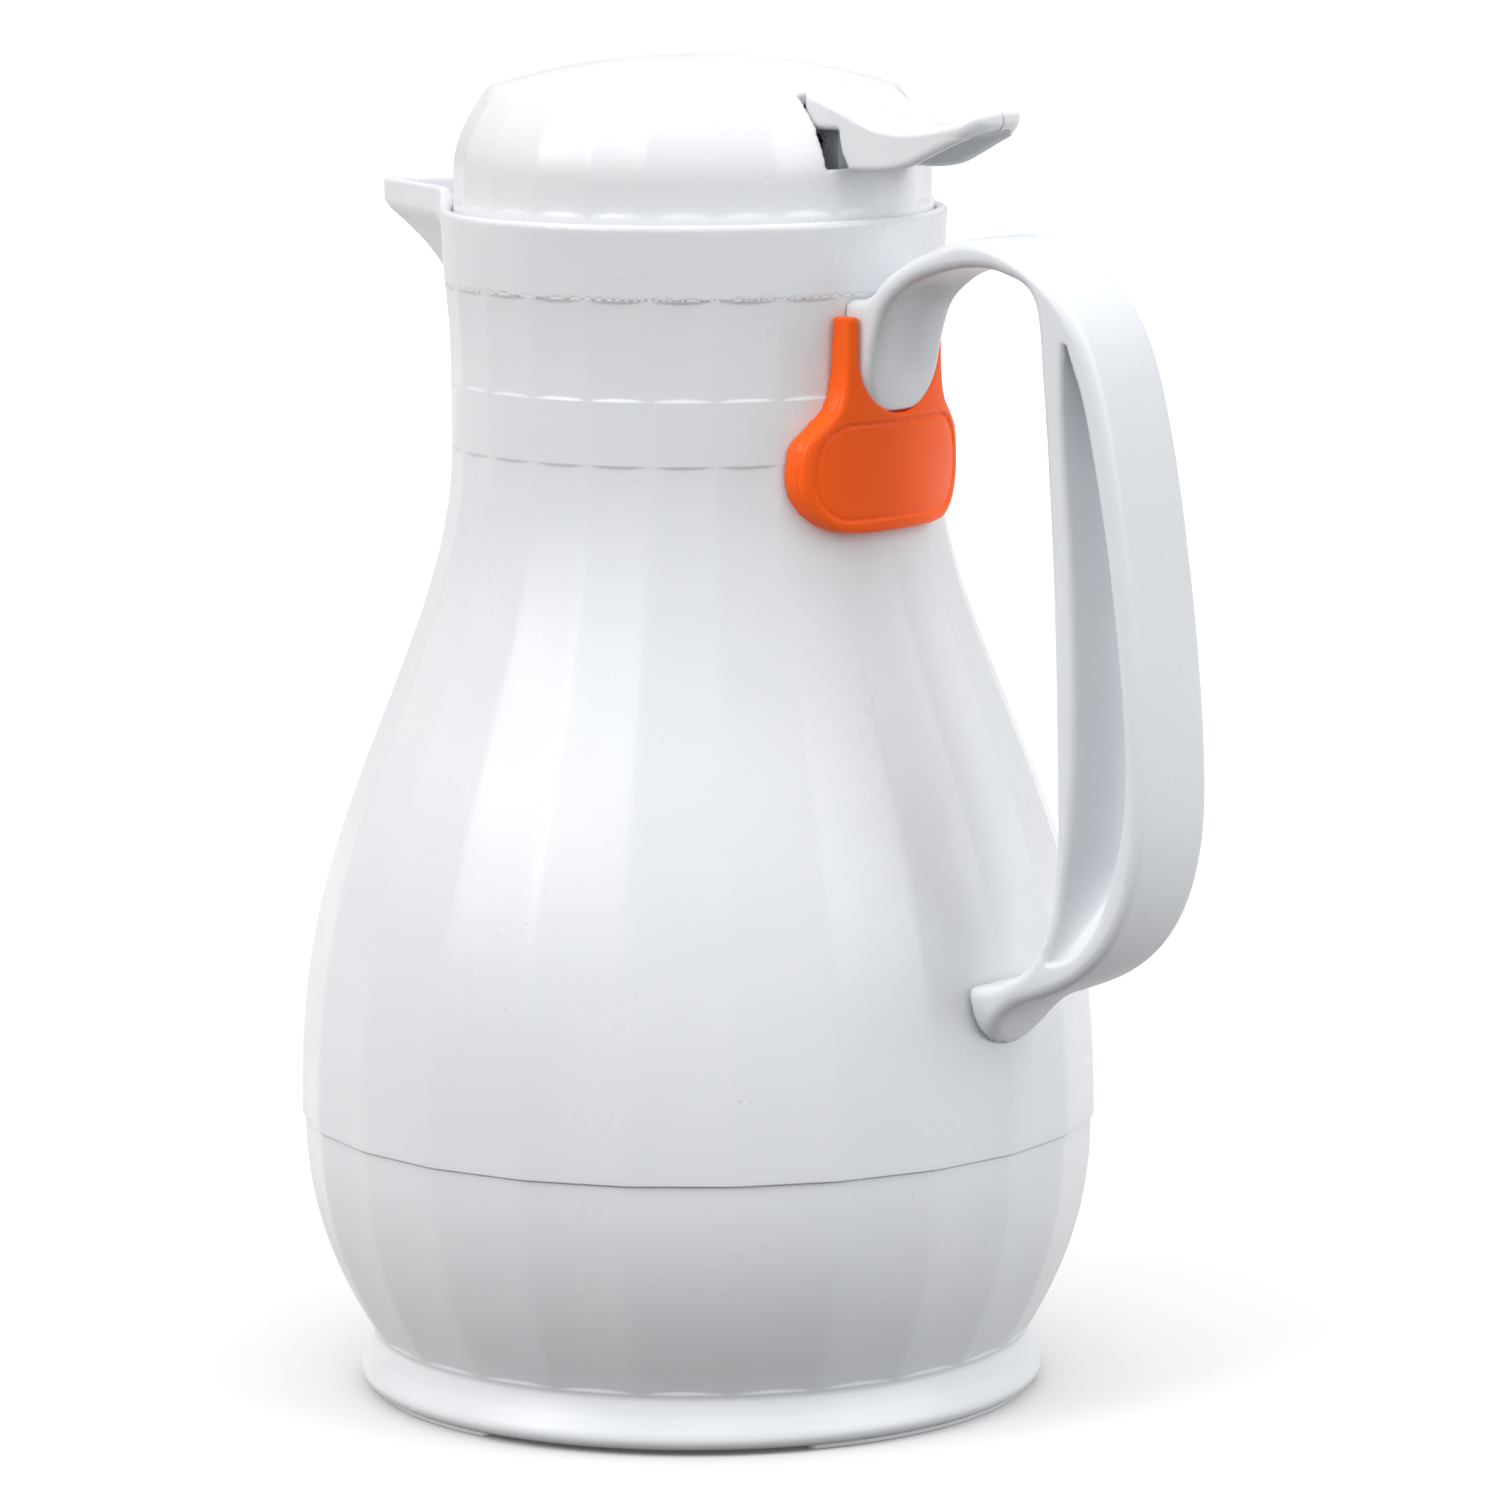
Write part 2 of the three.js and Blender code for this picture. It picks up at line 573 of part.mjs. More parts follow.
function strapInnerLine() {
  const low = (z) => HANDLE_FOOT_Z + z;
  const high = (z) => COLLAR_Z - z;
  return smooth([
    [BODY_R + 10, low(5.4)],
    [GRIP_X - 5.6, low(9.6)],
    [GRIP_X - 1.4, low(18)],
    [GRIP_X + 0.4, low(32)],
    [GRIP_X + 0.4, low(46)],
    [GRIP_X - 0.6, high(61)],
    [GRIP_X - 2.6, high(30)],
    [GRIP_X - 4.2, high(8)],
    [GRIP_X - 6, high(-2.4)],
    [GRIP_X - 13, high(-6)],
    [NECK_R + 31, ARCH_Z - ARCH_T],
    [NECK_R + 17, high(-4.2)],
    [NECK_R + 9.4, high(3)],
    [NECK_R + 6.2, high(9.6)],
  ], 32);
}

function handleSide() {
  const pendantZ = COLLAR_Z - PENDANT_H;
  const low = HANDLE_FOOT_Z - TONGUE_DROP;
  const seat = (z) => outerRadius(z) + GAP;
  const back = [];
  for (let i = 0; i <= 4; i += 1) {
    const z = low + (HANDLE_FOOT_Z + 3 - low) * i / 4;
    back.push([seat(z), z]);
  }
  return polygon([
    [NECK_R + GAP, pendantZ], [NECK_R + GAP, COLLAR_Z - 1.6],
    ...strapOuterLine(),
    [seat(low) + 6.4, HANDLE_FOOT_Z - 4], [seat(low) + 1.6, low],
    ...back,
    ...strapInnerLine(),
    [NECK_R + 4.8, COLLAR_Z - 16], [NECK_R + 4, pendantZ],
  ]);
}

// Side pocket between the strap's two flanges: narrow at the top and round at the bottom.
function pocketOutline() {
  const low = HANDLE_FOOT_Z + 10;
  const high = COLLAR_Z - 7;
  return polygon(smooth([
    [GRIP_X + 3, high], [GRIP_X + 8, high - 14], [HANDLE_X - 9, COLLAR_Z - 61],
    [HANDLE_X - FLANGE_W, (low + high) / 2 - 30], [HANDLE_X - 9, low + 12], [GRIP_X + 4, low],
    [GRIP_X, low + 3], [GRIP_X + 3.4, low + 22], [GRIP_X + FLANGE_W, (low + high) / 2],
    [GRIP_X + 2.4, high - 12], [GRIP_X + 3, high],
  ], 34).slice(0, -1));
}

function handleScrewPlaces() {
  return [
    [NECK_R, COLLAR_Z - UPPER_SCREW_DROP],
    [outerRadius(HANDLE_FOOT_Z - LOWER_SCREW_DROP), HANDLE_FOOT_Z - LOWER_SCREW_DROP],
  ];
}

// Horizontal hole through the jacket wall at a handle screw.
function screwHole(x, z, radius) {
  return rod(radius, -WALL * 3, WALL * 3, 16).rotate([0, 90, 0]).translate(x, 0, z);
}

function screwHeadRoom(x, z) {
  const depth = WALL + SCREW_HEAD_T + 4;
  return rod(SCREW_HEAD_R + 1, -depth, 2, 16).rotate([0, 90, 0]).translate(x, 0, z);
}

function handleScrew(index, grip) {
  const [x, z] = handleScrewPlaces()[index];
  const head = -WALL - GAP - 1.2;
  const body = rod(SCREW_HEAD_R, head - SCREW_HEAD_T, head, 16).add(rod(SCREW_R, head - 0.5, grip, 12));
  return body.rotate([0, 90, 0]).translate(x, 0, z);
}

function strapHandle() {
  const blank = sideSlab(handleSide(), STRAP_W / 2);
  const pendantZ = COLLAR_Z - PENDANT_H;
  const low = HANDLE_FOOT_Z - TONGUE_DROP;
  const wide = TONGUE_W + 20;
  const upperTrim = block(0, NECK_R + 20, -wide, wide, pendantZ - 5, COLLAR_Z - 4)
    .subtract(frontSlab(tongueOutline(TONGUE_W, pendantZ + TONGUE_W / 2, COLLAR_Z), -5, NECK_R + 30));
  const lowerTrim = block(0, BODY_R + 9, -wide, wide, low - 5, HANDLE_FOOT_Z)
    .subtract(frontSlab(tongueOutline(TONGUE_W + 3, low + TONGUE_W / 2, HANDLE_FOOT_Z + 5), -5, BODY_R + 30));
  let handle = blank.subtract(upperTrim).subtract(lowerTrim);
  handle = handle.subtract(jacketEnvelope());
  const pocket = sideSlab(pocketOutline(), POCKET_D);
  for (const side of [-1, 1]) handle = handle.subtract(pocket.translate(0, side * STRAP_W / 2, 0));
  const grips = [UPPER_GRIP, LOWER_GRIP];
  handleScrewPlaces().forEach(([x, z], i) => {
    const hole = screwHole(x, z, SCREW_R + GAP).translate(-WALL * 3 + grips[i] + GAP, 0, 0);
    handle = handle.subtract(hole);
  });
  return handle;
}

// The body's outside plus clearance, used to seat what is fixed to it.
function jacketEnvelope() {
  const outline = run(outerRadius, BOWL_Z, NECK_Z, 30, -GAP);
  return turned([[0, BOWL_Z], ...outline, [NECK_R + GAP, COLLAR_Z - 1], [0, COLLAR_Z - 1]], PANELS, false);
}

// ---------------------------------------------------------------- identification tag
function sectorOutline(outer, inner, halfAngle) {
  const half = deg(halfAngle);
  const shape = new THREE.Shape();
  shape.absarc(0, 0, outer, -half, half, false);
  shape.absarc(0, 0, inner, half, -half, true);
  shape.closePath();
  return shape;
}

// Front outline of the tag in Y and Z: two arms above a rounded pad.
function tagFront() {
  const top = COLLAR_Z - TAG_TOP_DROP;
  const low = top - TAG_H;
  const padHalf = TAG_OUT_R * Math.sin(deg(TAG_HALF_ANGLE));
  const armHalf = TAG_OUT_R * Math.sin(deg(TAG_ARM_ANGLE));
  const notch = TONGUE_W / 2 + 1;
  const padTop = low + PAD_HEIGHT;
  const notchZ = COLLAR_Z - PENDANT_H + TONGUE_W / 2;
  const shape = new THREE.Shape();
  shape.moveTo(notch, top);
  shape.lineTo(notch, notchZ);
  shape.absarc(0, notchZ, notch, 0, Math.PI, true);
  shape.lineTo(-notch, top);
  shape.lineTo(-armHalf, top);
  shape.lineTo(-armHalf, padTop + 4);
  shape.quadraticCurveTo(-armHalf, padTop - 2, -padHalf, padTop - 9);
  shape.lineTo(-padHalf, low + 11);
  shape.quadraticCurveTo(-padHalf + 1, low, -padHalf + 11, low);
  shape.lineTo(padHalf - 11, low);
  shape.quadraticCurveTo(padHalf - 1, low, padHalf, low + 11);
  shape.lineTo(padHalf, padTop - 9);
  shape.quadraticCurveTo(armHalf, padTop - 2, armHalf, padTop + 4);
  shape.lineTo(armHalf, top);
  shape.closePath();
  return shape;
}

function idTag() {
  const top = COLLAR_Z - TAG_TOP_DROP;
  const low = top - TAG_H;
  const plate = planSlab(sectorOutline(TAG_OUT_R, TAG_IN_R, 40), low - 1, top + 1, 24);
  const swept = [];
  for (let i = 0; i <= 8; i += 1) {
    const z = low - 2 + (NECK_Z - low + 2) * i / 8;
    swept.push([outerRadius(z - TAG_SLIDE) + GAP, z]);
  }
  const room = turned([[0, low - 2], ...swept, [TAG_IN_R, NECK_Z + TAG_SLIDE],
    [0, NECK_Z + TAG_SLIDE]], 2 * ROUND, false);
  return plate.intersect(frontSlab(tagFront(), 20, TAG_OUT_R + 5)).subtract(room);
}

// ---------------------------------------------------------------- lid, lever and valve
function lidRadius(z) {
  const skirtTop = REBATE_Z + LID_SKIRT_H;
  if (z <= skirtTop) return LID_R;
  const u = (z - skirtTop) / (SHOULDER_Z - skirtTop);
  return LID_R - (LID_R - LID_SHOULDER_R) * u ** 1.8;
}

function domeHeight(r) {
  const t = r / LID_SHOULDER_R;
  return SHOULDER_Z + DOME_H * (1 - t * t) ** 0.8;
}

function lidOutline(inset) {
  const side = run(lidRadius, REBATE_Z + RUN, SHOULDER_Z - 1, 6, inset);
  const dome = [0.96, 0.86, 0.7, 0.5, 0.25].map((share) => {
    const r = share * LID_SHOULDER_R;
    return [Math.max(0, r - inset * share), domeHeight(r) - inset];
  });
  return [...side, ...dome, [0, TOP_Z - inset]];
}

function lidCap() {
  const outside = lidOutline(0);
  const inside = lidOutline(LID_WALL).reverse();
  const shell = turned([...outside, ...inside], PANELS);
  const half = LEVER_ROOT_HW + RUN;
  return shell.subtract(block(LID_SHOULDER_R - 5, LID_R + 2, -half, half, ARM_Z, SHOULDER_Z + 4));
}

function stopperBody() {
  const wallIn = STOPPER_R - STOPPER_WALL;
  const deckR = (LID_R - LID_WALL) * FLAT - GAP;
  const plugTop = COLLAR_Z - SPIGOT_H;
  const upper = COLLAR_BORE_R - RUN;
  let body = turned([
    [SEAT_R, STOPPER_Z], [STOPPER_R, STOPPER_Z], [STOPPER_R, plugTop], [upper, plugTop + 3],
    [upper, REBATE_Z + RUN], [deckR, REBATE_Z + RUN], [deckR, REBATE_Z + RUN + DECK_T],
    [STEM_R + RUN, REBATE_Z + RUN + DECK_T], [STEM_R + RUN, REBATE_Z + RUN],
    [upper - STOPPER_WALL, REBATE_Z + RUN],
    [upper - STOPPER_WALL, plugTop + 4], [wallIn, plugTop + 1], [wallIn, STOPPER_Z + STOPPER_WALL],
    [SEAT_R, STOPPER_Z + STOPPER_WALL],
  ], ROUND);
  body = body.subtract(block(-upper - 2, -upper + 8, -15, 15, COLLAR_Z - 1, REBATE_Z - 2));
  body = body.subtract(ring(STOPPER_R + 1, STOPPER_R - 1.6, STOPPER_Z + 3, STOPPER_Z + 3 + SEAL_T + 1.2));
  for (const side of [-1, 1]) {
    let ear = earBlock(side, 0);
    ear = ear.subtract(rod(PIN_R + 0.15, -30, 30, 16).rotate([90, 0, 0]).translate(PIVOT_X, 0, PIVOT_Z));
    body = body.add(ear);
  }
  return body;
}

// One of the two ears that hold the lever pin, grown all round by the given room.
function earBlock(side, room) {
  const near = ARM_HW + RUN - room;
  const far = ARM_HW + RUN + EAR_T + room;
  const low = REBATE_Z + RUN + DECK_T - 0.5;
  const top = PIVOT_Z + PIN_R + 2 + room;
  const ys = side > 0 ? [near, far] : [-far, -near];
  return block(PIVOT_X - 5 - room, PIVOT_X + 5 + room, ...ys, low, top);
}

function leverPin() {
  const half = ARM_HW + RUN + EAR_T + 1;
  return rod(PIN_R, -half, half, 16).rotate([90, 0, 0]).translate(PIVOT_X, 0, PIVOT_Z);
}

function stopperGasket() {
  const z = STOPPER_Z + 3 + GAP / 2;
  return ring(MOUTH_R - 0.15, STOPPER_R - 1.0, z, z + SEAL_T + 0.9);
}

function valveStem() {
  const headZ = ARM_Z + ARM_T + GAP;
  const stem = rod(STEM_R, VALVE_Z + VALVE_T + GAP, headZ + 1, 20);
  const head = rod(STEM_HEAD_R, headZ, headZ + HEAD_T, 24);
  const foot = rod(SPRING_R + 2, VALVE_Z + VALVE_T + GAP, VALVE_Z + VALVE_T + GAP + 1.4, 24);
  return stem.add(head).add(foot);
}

function valveSeal() {
  return turned([
    [0, VALVE_Z], [VALVE_R - 1, VALVE_Z], [VALVE_R, VALVE_Z + 0.8], [VALVE_R - 1, VALVE_Z + VALVE_T],
    [0, VALVE_Z + VALVE_T],
  ], 36, false);
}

class Helix extends THREE.Curve {
  constructor(radius, z0, z1, turns) {
    super();
    Object.assign(this, { radius, z0, z1, turns });
  }

  getPoint(t, target = new THREE.Vector3()) {
    const angle = 2 * Math.PI * this.turns * t;
    const x = this.radius * Math.cos(angle);
    return target.set(x, this.radius * Math.sin(angle), this.z0 + (this.z1 - this.z0) * t);
  }
}

function valveSpring() {
  const z0 = VALVE_Z + VALVE_T + GAP + 1.4 + SPRING_WIRE_R + GAP;
  const z1 = REBATE_Z + RUN - SPRING_WIRE_R - GAP;
  const wire = new THREE.Shape();
  wire.absarc(0, 0, SPRING_WIRE_R, 0, 2 * Math.PI, false);
  const path = new Helix(SPRING_R, z0, z1, SPRING_TURNS);
  return solid(new THREE.ExtrudeGeometry(wire, {
    steps: SPRING_TURNS * 10, curveSegments: 3, bevelEnabled: false, extrudePath: path,
  }));
}

// Side view of the lever's outer part: a dip behind the shoulder and an upturned tip.
function leverSide(drop) {
  const under = SHOULDER_Z - (drop > 0 ? 8 : 0);
  const top = smooth([
    [LID_SHOULDER_R - 3, SHOULDER_Z + 1.2 - drop],
    [LID_SHOULDER_R + 7, SHOULDER_Z - 1.8 - drop],
    [LID_SHOULDER_R + 21, SHOULDER_Z - 5 - drop],
    [LEVER_TIP_X - 7, SHOULDER_Z - 2.6 - drop],
    [LEVER_TIP_X, SHOULDER_Z - 0.6 - drop],
  ], 14);
  return polygon([
    ...top, [LEVER_TIP_X, under - 4.8], [LEVER_TIP_X - 6, under - 7.6],
    [LEVER_TIP_X - 17, under - 13.6], [LID_R + 4, under - 15], [LID_R + 4, under - 11],
    [LID_SHOULDER_R - 3, under - 11],
  ]);
}

function leverPlan(inset) {
  const tip = LEVER_TIP_X - inset;
  const start = LID_SHOULDER_R - 3 + (inset > 0 ? 2 : 0);
  const shape = new THREE.Shape();
  shape.moveTo(start, LEVER_ROOT_HW - inset);
  shape.quadraticCurveTo(LID_SHOULDER_R + 8, LEVER_MID_HW - inset, LID_SHOULDER_R + 22, LEVER_MID_HW - inset);
  shape.lineTo(tip - 4, LEVER_TIP_HW - inset);
  shape.quadraticCurveTo(tip, LEVER_TIP_HW - inset, tip, LEVER_TIP_HW - 4 - inset);
  shape.lineTo(tip, -LEVER_TIP_HW + 4 + inset);
  shape.quadraticCurveTo(tip, -LEVER_TIP_HW + inset, tip - 4, -LEVER_TIP_HW + inset);
  shape.lineTo(LID_SHOULDER_R + 22, -LEVER_MID_HW + inset);
  shape.quadraticCurveTo(LID_SHOULDER_R + 8, -LEVER_MID_HW + inset, start, -LEVER_ROOT_HW + inset);
  shape.closePath();
  return shape;
}

function thumbLever() {
  const zLow = SHOULDER_Z - 30;
  const zHigh = SHOULDER_Z + 10;
  const outer = sideSlab(leverSide(0), 30).intersect(planSlab(leverPlan(0), zLow, zHigh));
  const below = leverSide(LEVER_SKIN);
  const hollow = sideSlab(below, 30).intersect(planSlab(leverPlan(LEVER_SKIN), zLow, zHigh));
  const arm = block(-1, LID_SHOULDER_R + 2, -ARM_HW, ARM_HW, ARM_Z, ARM_Z + ARM_T);
  const knuckle = block(PIVOT_X - 4, LID_SHOULDER_R + 2, -ARM_HW, ARM_HW, ARM_Z, SHOULDER_Z - 2);
  const slot = block(-12, STEM_R + 1.4, -STEM_R - 1.2, STEM_R + 1.2, ARM_Z - 2, ARM_Z + ARM_T + 2);
  const bore = rod(PIN_R + 0.25, -30, 30, 20).rotate([90, 0, 0]).translate(PIVOT_X, 0, PIVOT_Z);
  const ears = earBlock(-1, EAR_ROOM).add(earBlock(1, EAR_ROOM)).subtract(knuckle);
  return outer.subtract(hollow).subtract(ears).add(knuckle).add(arm.subtract(slot)).subtract(bore);
}

// ---------------------------------------------------------------- materials and assembly
function plastic(color, roughness) {
  return new THREE.MeshStandardMaterial({ color, roughness, metalness: 0 });
}

function steel() {
  return new THREE.MeshStandardMaterial({ color: 0xb4b6b8, roughness: 0.35, metalness: 1 });
}

const WHITE = 0xf2f3f4;
const ORANGE = 0xf06414;
const RUBBER = 0x9a9c9e;
const FOAM = 0xe8dcae;
const INNER = 0xd9dcde;

const server = new THREE.Group();

function place(name, manifold, material) {
  const mesh = new THREE.Mesh(toGeometry(manifold), material);
  mesh.name = name;
  server.add(mesh);
}

place('outer_jacket', outerJacket(), plastic(WHITE, 0.32));
place('base_shell', baseShell(), plastic(WHITE, 0.32));
place('bottom_plate', bottomPlate(), plastic(INNER, 0.5));
place('base_disc', baseDisc(), plastic(INNER, 0.5));
for (let i = 0; i < BASE_SCREWS; i += 1) place(`base_screw_${i + 1}`, baseScrew(i), steel());
place('liner', liner(), plastic(INNER, 0.3));
place('liner_cushion', linerCushion(), plastic(RUBBER, 0.8));
place('foam_bowl', foamBowl(), plastic(FOAM, 0.95));
place('foam_sleeve', foamSleeve(), plastic(FOAM, 0.95));
place('collar_seal', collarSeal(), plastic(RUBBER, 0.7));
place('pour_collar', pourCollar(), plastic(WHITE, 0.3));
place('strap_handle', strapHandle(), plastic(WHITE, 0.32));
place('handle_screw_upper', handleScrew(0, UPPER_GRIP), steel());
place('handle_screw_lower', handleScrew(1, LOWER_GRIP), steel());
place('id_tag', idTag(), plastic(ORANGE, 0.45));
place('lid_cap', lidCap(), plastic(WHITE, 0.28));
place('stopper_body', stopperBody(), plastic(INNER, 0.4));
place('stopper_gasket', stopperGasket(), plastic(RUBBER, 0.7));
place('lever_pin', leverPin(), steel());
place('thumb_lever', thumbLever(), plastic(WHITE, 0.3));
place('valve_stem', valveStem(), plastic(INNER, 0.4));
place('valve_seal', valveSeal(), plastic(RUBBER, 0.7));
place('valve_spring', valveSpring(), steel());

export default server;
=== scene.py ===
import math

import bpy
import bmesh
import numpy as np
from mathutils import Matrix, Vector


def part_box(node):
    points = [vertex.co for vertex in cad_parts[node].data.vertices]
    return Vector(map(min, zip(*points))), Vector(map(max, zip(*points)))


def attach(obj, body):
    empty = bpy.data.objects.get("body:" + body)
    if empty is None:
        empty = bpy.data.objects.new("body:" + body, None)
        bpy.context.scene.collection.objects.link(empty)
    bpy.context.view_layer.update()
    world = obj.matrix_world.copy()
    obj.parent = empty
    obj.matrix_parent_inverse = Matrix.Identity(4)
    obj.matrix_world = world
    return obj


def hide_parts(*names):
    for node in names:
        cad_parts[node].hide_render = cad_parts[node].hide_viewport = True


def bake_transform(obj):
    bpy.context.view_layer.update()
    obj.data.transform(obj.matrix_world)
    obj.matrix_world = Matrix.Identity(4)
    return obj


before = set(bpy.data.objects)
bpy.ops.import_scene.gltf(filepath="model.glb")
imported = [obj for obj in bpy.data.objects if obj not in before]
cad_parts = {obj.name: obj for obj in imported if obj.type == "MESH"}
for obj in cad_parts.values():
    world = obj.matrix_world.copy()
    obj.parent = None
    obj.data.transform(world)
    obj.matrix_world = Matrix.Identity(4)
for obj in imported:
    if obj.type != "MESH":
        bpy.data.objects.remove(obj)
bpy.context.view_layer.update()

# Lengths below are millimetres in the frame's axes: +X to the handle, -X to the spout, +Z up.
MM = 0.001


def level(node, top):
    """Height of a CAD node's top or bottom, in millimetres."""
    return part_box(node)[1 if top else 0].z / MM


# ---------------------------------------------------------------- sizes, from the frame where it has them
PANELS = 24
SEAM_Z = level("outer_jacket", False)
COLLAR_Z = level("outer_jacket", True)
BODY_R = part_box("outer_jacket")[1].y / MM
BASE_R = BODY_R - 0.7
NECK_R = 54.5
NECK_Z = SEAM_Z + 151.2
BAND_Z = NECK_Z + 14.0
FLARE_Z = COLLAR_Z - 20.2
NECK_FLARE = 1.1
JACKET_TOP = COLLAR_Z + 0.6
WALL = 2.4
SHOULDER_POWER = 1.24
BOWL_Z = 12.8
BOWL_POWER = 2.15
WAIST_R = 74.6
FOOT_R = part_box("bottom_plate")[1].y / MM + 7.5
FOOT_Z = 1.2
RIM_Z = COLLAR_Z + 16.4
COLLAR_R = 56.5
BORE_R = 45.0
REBATE_Z = RIM_Z - 3.0
REBATE_R = 54.1
LID_Z = level("lid_cap", False)
LID_TOP = level("lid_cap", True)
LID_R = 53.5
TAG_TOP = level("id_tag", True)
TAG_LOW = level("id_tag", False)
TAG_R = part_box("id_tag")[1].x / MM
STRAP_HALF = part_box("strap_handle")[1].y / MM
STRAP_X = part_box("strap_handle")[1].x / MM
ARCH_Z = level("strap_handle", True)
STRAP_LOW = level("strap_handle", False)
LEVER_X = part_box("thumb_lever")[1].x / MM
LEVER_TOP = level("thumb_lever", True)


# ---------------------------------------------------------------- mesh helpers
def mesh_object(name, points, faces):
    """Smooth-shaded mesh from points in millimetres."""
    mesh = bpy.data.meshes.new(name)
    mesh.from_pydata([tuple(p) for p in np.asarray(points) * MM], [], faces)
    mesh.validate()
    mesh.update()
    mesh.polygons.foreach_set("use_smooth", [True] * len(mesh.polygons))
    obj = bpy.data.objects.new(name, mesh)
    bpy.context.scene.collection.objects.link(obj)
    return obj


def grid_faces(rows, cols, wrap_rows):
    """Quads of a grid whose columns close on themselves."""
    k = np.arange(rows if wrap_rows else rows - 1)[:, None]
    j = np.arange(cols)[None, :]
    k2 = (k + 1) % rows
    j2 = (j + 1) % cols
    quads = np.stack([k * cols + j, k * cols + j2, k2 * cols + j2, k2 * cols + j], axis=-1)
    return quads.reshape(-1, 4).tolist()


def finish_piece(obj, body, replaced, material):
    """Gives a piece its material and body, and hides the CAD nodes it stands for."""
    obj.data.materials.append(material)
    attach(obj, body)
    if replaced:
        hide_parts(*replaced)
    return obj


def smoothstep(x, low, high):
    t = np.clip((np.asarray(x, float) - low) / (high - low), 0.0, 1.0)
    return t * t * (3.0 - 2.0 * t)


def spline(points, count):
    """Catmull-Rom points through a few given ones, centripetal so tight bends stay round."""
    pts = np.asarray(points, float)
    ends = [2 * pts[0] - pts[1]], [2 * pts[-1] - pts[-2]]
    pts = np.concatenate([ends[0], pts, ends[1]])
    steps = np.sqrt(np.linalg.norm(np.diff(pts, axis=0), axis=1))
    knots = np.concatenate([[0], np.cumsum(steps)])
    out = []
    for u in np.linspace(knots[1], knots[-2] - 1e-9, count):
        i = min(max(int(np.searchsorted(knots, u, "right")) - 1, 1), len(pts) - 3)
        t = knots[i - 1:i + 3]
        p = pts[i - 1:i + 3]
        a = [((t[k + 1] - u) * p[k] + (u - t[k]) * p[k + 1]) / (t[k + 1] - t[k]) for k in range(3)]
        b = [((t[k + 2] - u) * a[k] + (u - t[k]) * a[k + 1]) / (t[k + 2] - t[k]) for k in range(2)]
        out.append(((t[2] - u) * b[0] + (u - t[1]) * b[1]) / (t[2] - t[1]))
    return np.array(out)


# ---------------------------------------------------------------- distance fields
def outline_distance(x, y, outline):
    """Signed distance to a closed 2D outline, negative inside."""
    px = np.asarray(x, float)
    py = np.asarray(y, float)
    shape = np.broadcast(px, py).shape
    best = np.full(shape, 1e9)
    inside = np.zeros(shape, bool)
    nxt = np.roll(outline, -1, axis=0)
    for (ax, ay), (bx, by) in zip(outline, nxt):
        ex, ey = bx - ax, by - ay
        length = ex * ex + ey * ey
        if length < 1e-12:
            continue
        t = np.clip(((px - ax) * ex + (py - ay) * ey) / length, 0, 1)
        best = np.minimum(best, (px - ax - t * ex) ** 2 + (py - ay - t * ey) ** 2)
        if ay != by:
            cross = (ay > py) != (by > py)
            inside ^= cross & (px < ex * (py - ay) / ey + ax)
    return np.where(inside, -1.0, 1.0) * np.sqrt(best)


TABLE_STEP = 0.12
TABLE_MARGIN = 4.0


def tabulated(outline):
    """Distance to an outline read from a table, which makes fine nets quick."""
    low = outline.min(axis=0) - TABLE_MARGIN
    count = np.ceil((outline.max(axis=0) + TABLE_MARGIN - low) / TABLE_STEP).astype(int) + 1
    across, up = [low[k] + TABLE_STEP * np.arange(count[k]) for k in range(2)]
    table = outline_distance(across[:, None], up[None, :], outline)

    def read(x, y):
        u = np.clip((x - low[0]) / TABLE_STEP, 0, count[0] - 1.001)
        v = np.clip((y - low[1]) / TABLE_STEP, 0, count[1] - 1.001)
        i, j = u.astype(int), v.astype(int)
        u, v = u - i, v - j
        near = table[i, j] * (1 - u) + table[i + 1, j] * u
        far = table[i, j + 1] * (1 - u) + table[i + 1, j + 1] * u
        return near * (1 - v) + far * v

    return read


def rounded_and(a, b, radius):
    """Intersection whose outer edge is rounded."""
    if radius <= 0:
        return np.maximum(a, b)
    outer = np.sqrt(np.maximum(a + radius, 0) ** 2 + np.maximum(b + radius, 0) ** 2)
    return outer + np.minimum(np.maximum(a, b) + radius, 0) - radius


def filleted_or(a, b, radius):
    """Union whose inner corner carries a fillet."""
    h = np.clip(0.5 + 0.5 * (b - a) / radius, 0, 1)
    return b * (1 - h) + a * h - radius * h * (1 - h)


def rounded_cut(a, b, radius):
    """a with b taken out, the rim rounded."""
    return rounded_and(a, -b, radius)


NET_PULLS = 2    # times a net's points are drawn on to the true surface


